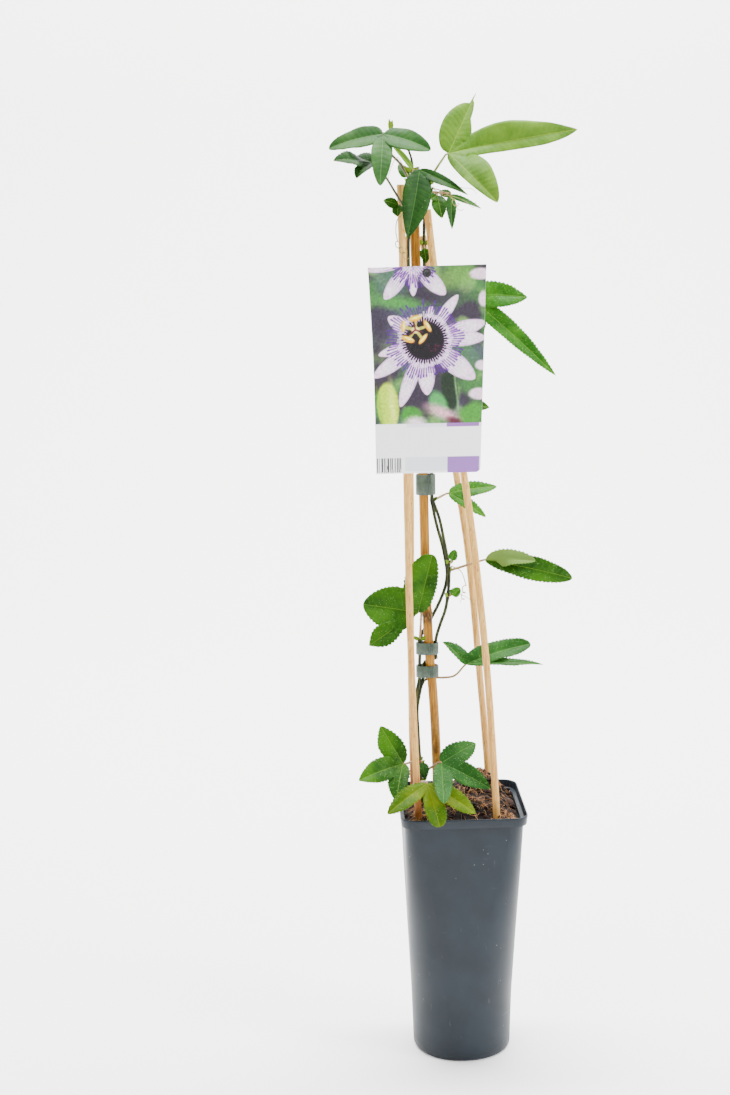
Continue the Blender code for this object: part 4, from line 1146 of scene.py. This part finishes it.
def blade(leaf):
    """The leaf's sheet: for each half of each lobe, rows from the midrib to the edge."""
    base = Vector(leaf.base) * MM
    facing = Vector(leaf.facing).normalized()
    lengths = [lobe_span(lobe, base).length for lobe in leaf.lobes]
    web_shares = [leaf.joined * MM / length for length in lengths]
    webs = []
    for i in range(len(lengths) - 1):
        one, two = (midrib(base, facing, leaf.lobes[k], web_shares[k])[0] for k in (i, i + 1))
        webs.append((one + two) / 2)
    shape = Shape()
    for i, lobe in enumerate(leaf.lobes):
        joined = max(3, round(web_shares[i] * lengths[i] / (0.9 * MM))) if leaf.joined else 0
        free = max(14, round((1 - web_shares[i]) * lengths[i] / (0.75 * MM)))
        shares = [web_shares[i] * k / joined for k in range(joined)]
        shares += [web_shares[i] + (1 - web_shares[i]) * k / free for k in range(free + 1)]
        for side, web in ((1, webs[i - 1] if i else None), (-1, webs[i] if i < len(webs) else None)):
            rows = []
            for share in shares:
                rib, along = midrib(base, facing, lobe, share)
                if web is not None and share < web_shares[i]:
                    edge = base.lerp(web, share / web_shares[i])
                elif share >= 1:
                    edge = rib.copy()
                else:
                    edge = edge_point(leaf, lobe, base, facing, share, side, web)
                up = along.cross(facing.cross(along)).normalized()
                width = (edge - rib).length
                row = []
                for t in [k / BLADE_COLUMNS for k in range(BLADE_COLUMNS + 1)]:
                    point = rib.lerp(edge, t)
                    ripple = noise.noise(point * 55) * 1.5 * MM + noise.noise(point * 160) * 0.5 * MM
                    loose = t if web is None or share > web_shares[i] else 0
                    wave = ripple * loose ** 1.5 * min(1, width / (5 * MM))
                    lift = 0.06 * width * math.sin(math.pi * t) + wave
                    row.append((point + up * lift, (t * width / MM, share * lengths[i] / MM, 0)))
                rows.append(row[::-1] if side == 1 else row)
            values = [value for row in rows for _, value in row]
            shape.grid([[point for point, _ in row] for row in rows], lobe.turned, values)
    return shape


def make_leaves(stem_paths):
    """Each leaf's blade, and its petiole with the small knobs that longer petioles carry."""
    for name, leaf in LEAVES.items():
        base = Vector(leaf.base) * MM
        facing = Vector(leaf.facing).normalized()
        front, back = LEAF_LOOKS[leaf.look]
        obj = blade(leaf).finish(name + "_blade", [front, back], "leaf", name, attribute="blade", sharp=180)
        weld = obj.modifiers.new("Weld", "WELD")
        weld.merge_threshold = 0.02 * MM
        solid = obj.modifiers.new("Thickness", "SOLIDIFY")
        solid.thickness = 0.3 * MM
        solid.offset = 0
        solid.material_offset = 1
        solid.material_offset_rim = 1
        spans = [lobe_span(lobe, base) for lobe in leaf.lobes]
        middle = sum(spans, Vector()).normalized()
        path = petiole_path(leaf, base, facing, middle, stem_paths[leaf.carrier])
        big = max(span.length for span in spans) > LARGE_LOBE
        thick = (1.0 if big else 0.6) * MM
        radii = [thick * (1.15 - 0.35 * i / len(path)) for i in range(len(path))]
        shape = Shape()
        shape.tube(path, radii, sides=10)
        if big:
            for share in (0.45, 0.62):
                spot = path[int(share * (len(path) - 1))]
                side = facing.cross(path[-1] - path[0]).normalized()
                for hand in (1, -1):
                    knob = [spot + side * hand * d * MM for d in (0.4, 0.9, 1.3)]
                    shape.tube(knob, [0.32 * MM, 0.4 * MM, 0.2 * MM], sides=7)
        shape.finish(name.replace("leaf", "petiole", 1), [PETIOLES[leaf.petiole]], "stem", sharp=60)


# ---------------------------------------------------------------- the scene around it


def make_stage():
    """A pale sweep: floor and backdrop in one sheet."""
    bend = [polar(SWEEP_RADIUS, math.pi / 2 * (k / 16 - 1)) for k in range(17)]
    profile = [(-4.0, 0.0), (0.0, 0.0)]
    profile += [(SWEEP_START + p.x, SWEEP_RADIUS + p.y) for p in bend]
    profile.append((SWEEP_START + SWEEP_RADIUS, 4.0))
    sheet = Shape()
    sheet.grid([[(x, y, z) for x in (-4, -1.3, 1.3, 4)] for y, z in profile])
    mesh = bpy.data.meshes.new("backdrop")
    mesh.from_pydata(sheet.points, [], sheet.faces)
    mesh.shade_smooth()
    look = Shader("backdrop_white", 0.7)
    mesh.materials.append(look.finish(look.mix(look.noise(3.0), (243, 243, 242), (246, 246, 246))))
    obj = bpy.data.objects.new("backdrop", mesh)
    bpy.context.scene.collection.objects.link(obj)


def area_light(name, place, target, size, energy):
    light = bpy.data.lights.new(name, "AREA")
    light.shape = "RECTANGLE"
    light.size, light.size_y = size
    light.energy = energy
    obj = bpy.data.objects.new(name, light)
    obj.location = place
    obj.rotation_euler = (Vector(target) - Vector(place)).to_track_quat("-Z", "Y").to_euler()
    bpy.context.scene.collection.objects.link(obj)


def make_lights():
    world = bpy.data.worlds.new("studio")
    world.use_nodes = True
    background = world.node_tree.nodes["Background"]
    background.inputs["Color"].default_value = (1, 1, 1, 1)
    background.inputs["Strength"].default_value = 0.8
    bpy.context.scene.world = world
    area_light("key", (-1.4, -1.6, 1.9), (0, 0, 0.4), (1.2, 1.2), 24)
    area_light("fill", (1.7, -0.9, 1.3), (0, 0, 0.4), (0.7, 1.6), 62)
    area_light("overhead", (0, 0.6, 2.6), (0, 0.6, 0), (2.4, 1.6), 80)
    area_light("backdrop_wash", (0, 0.45, 2.9), (0, 2.1, 0.7), (3.2, 0.8), 360)


def make_camera():
    """The photo's camera, fitted to the levelling staff behind the plant."""
    data = bpy.data.cameras.new("camera")
    data.lens = 60
    data.sensor_width = 36
    camera = bpy.data.objects.new("camera", data)
    right = Vector((0.99942, -0.03078, -0.01464))
    up = Vector((0.02013, 0.18658, 0.98223))
    back = -Vector((0.02750, 0.98196, -0.18709))
    turn = Matrix((right, up, back)).transposed()
    camera.matrix_world = Matrix.Translation((-0.1206, -1.4978, 0.7294)) @ turn.to_4x4()
    bpy.context.scene.collection.objects.link(camera)
    bpy.context.scene.camera = camera


# ---------------------------------------------------------------- making it

LEAF_COLOURS = {  # dark, light, veins, back, and the share of speckled cells
    "green": ((20, 60, 2), (50, 96, 4), (96, 130, 40), (96, 124, 56), 0.4),
    "dark": ((6, 36, 4), (18, 58, 6), (54, 92, 26), (66, 98, 40), 0.35),
    "deep": ((15, 48, 11), (31, 68, 17), (66, 106, 44), (72, 104, 52), 0.04),
    "blue": ((30, 68, 24), (48, 88, 34), (86, 122, 60), (76, 108, 58), 0.02),
    # The next look is the top leaves' own yellow-green, lightened further as painted light: it stands in for
    # light shining through the thin blade.
    "bright_lit_through": ((64, 101, 20), (87, 123, 32), (130, 152, 40), (118, 146, 46), 0.02),
    "yellow": ((46, 78, 0), (84, 102, 0), (112, 126, 10), (112, 130, 34), 0.3),
    "speckled": ((22, 66, 17), (38, 86, 27), (84, 124, 50), (78, 112, 52), 0.6),
    "speckled_green": ((24, 78, 6), (52, 108, 12), (96, 134, 40), (92, 126, 48), 0.6),
    "young": ((66, 106, 8), (98, 128, 18), (124, 146, 44), (110, 138, 44), 0.0),
}
LEAF_LOOKS = {
    look: (
        leaf_material("leaf_" + look, dark, light, vein, spots),
        leaf_material("leaf_" + look + "_back", back, back, vein, back=True),
    )
    for look, (dark, light, vein, back, spots) in LEAF_COLOURS.items()
}
PETIOLES = {
    "brown": stem_material("petiole_brown", (124, 88, 60), (150, 128, 84)),
    "dark": stem_material("petiole_dark", (66, 60, 46), (98, 96, 66)),
    "green": stem_material("petiole_green", (128, 140, 72), (158, 172, 96)),
}
STEM = stem_material("stem_olive", (22, 28, 10), (58, 66, 22), 0.6)
TENDRIL = stem_material("tendril_thread", (112, 104, 48), (160, 156, 84))
CANE = cane_material()
BAMBOO_WOOD = bamboo_material()
POT = pot_material()
SOIL = soil_material("substrate_dark", (3, 2, 1), (34, 19, 12), (44, 20, 11))
BARK = soil_material("substrate_bark", (5, 3, 2), (44, 25, 15), (50, 23, 12))
COIR = soil_material("substrate_coir", (28, 15, 8), (214, 160, 108), (82, 42, 22))
CLIP = plastic_material("clip_grey_green", (48, 64, 52), (62, 80, 66), 0.5)
TIE = plastic_material("tie_black", (14, 14, 16), (26, 26, 28), 0.4)
CARD = card_material()
PRINT = print_material()

make_camera()
make_stage()
make_lights()
make_pot()
make_substrate()
make_canes()
stem_paths = make_stems()
make_stipules(stem_paths)
make_clips()
make_label()
make_tie()
make_tendrils()
make_leaves(stem_paths)
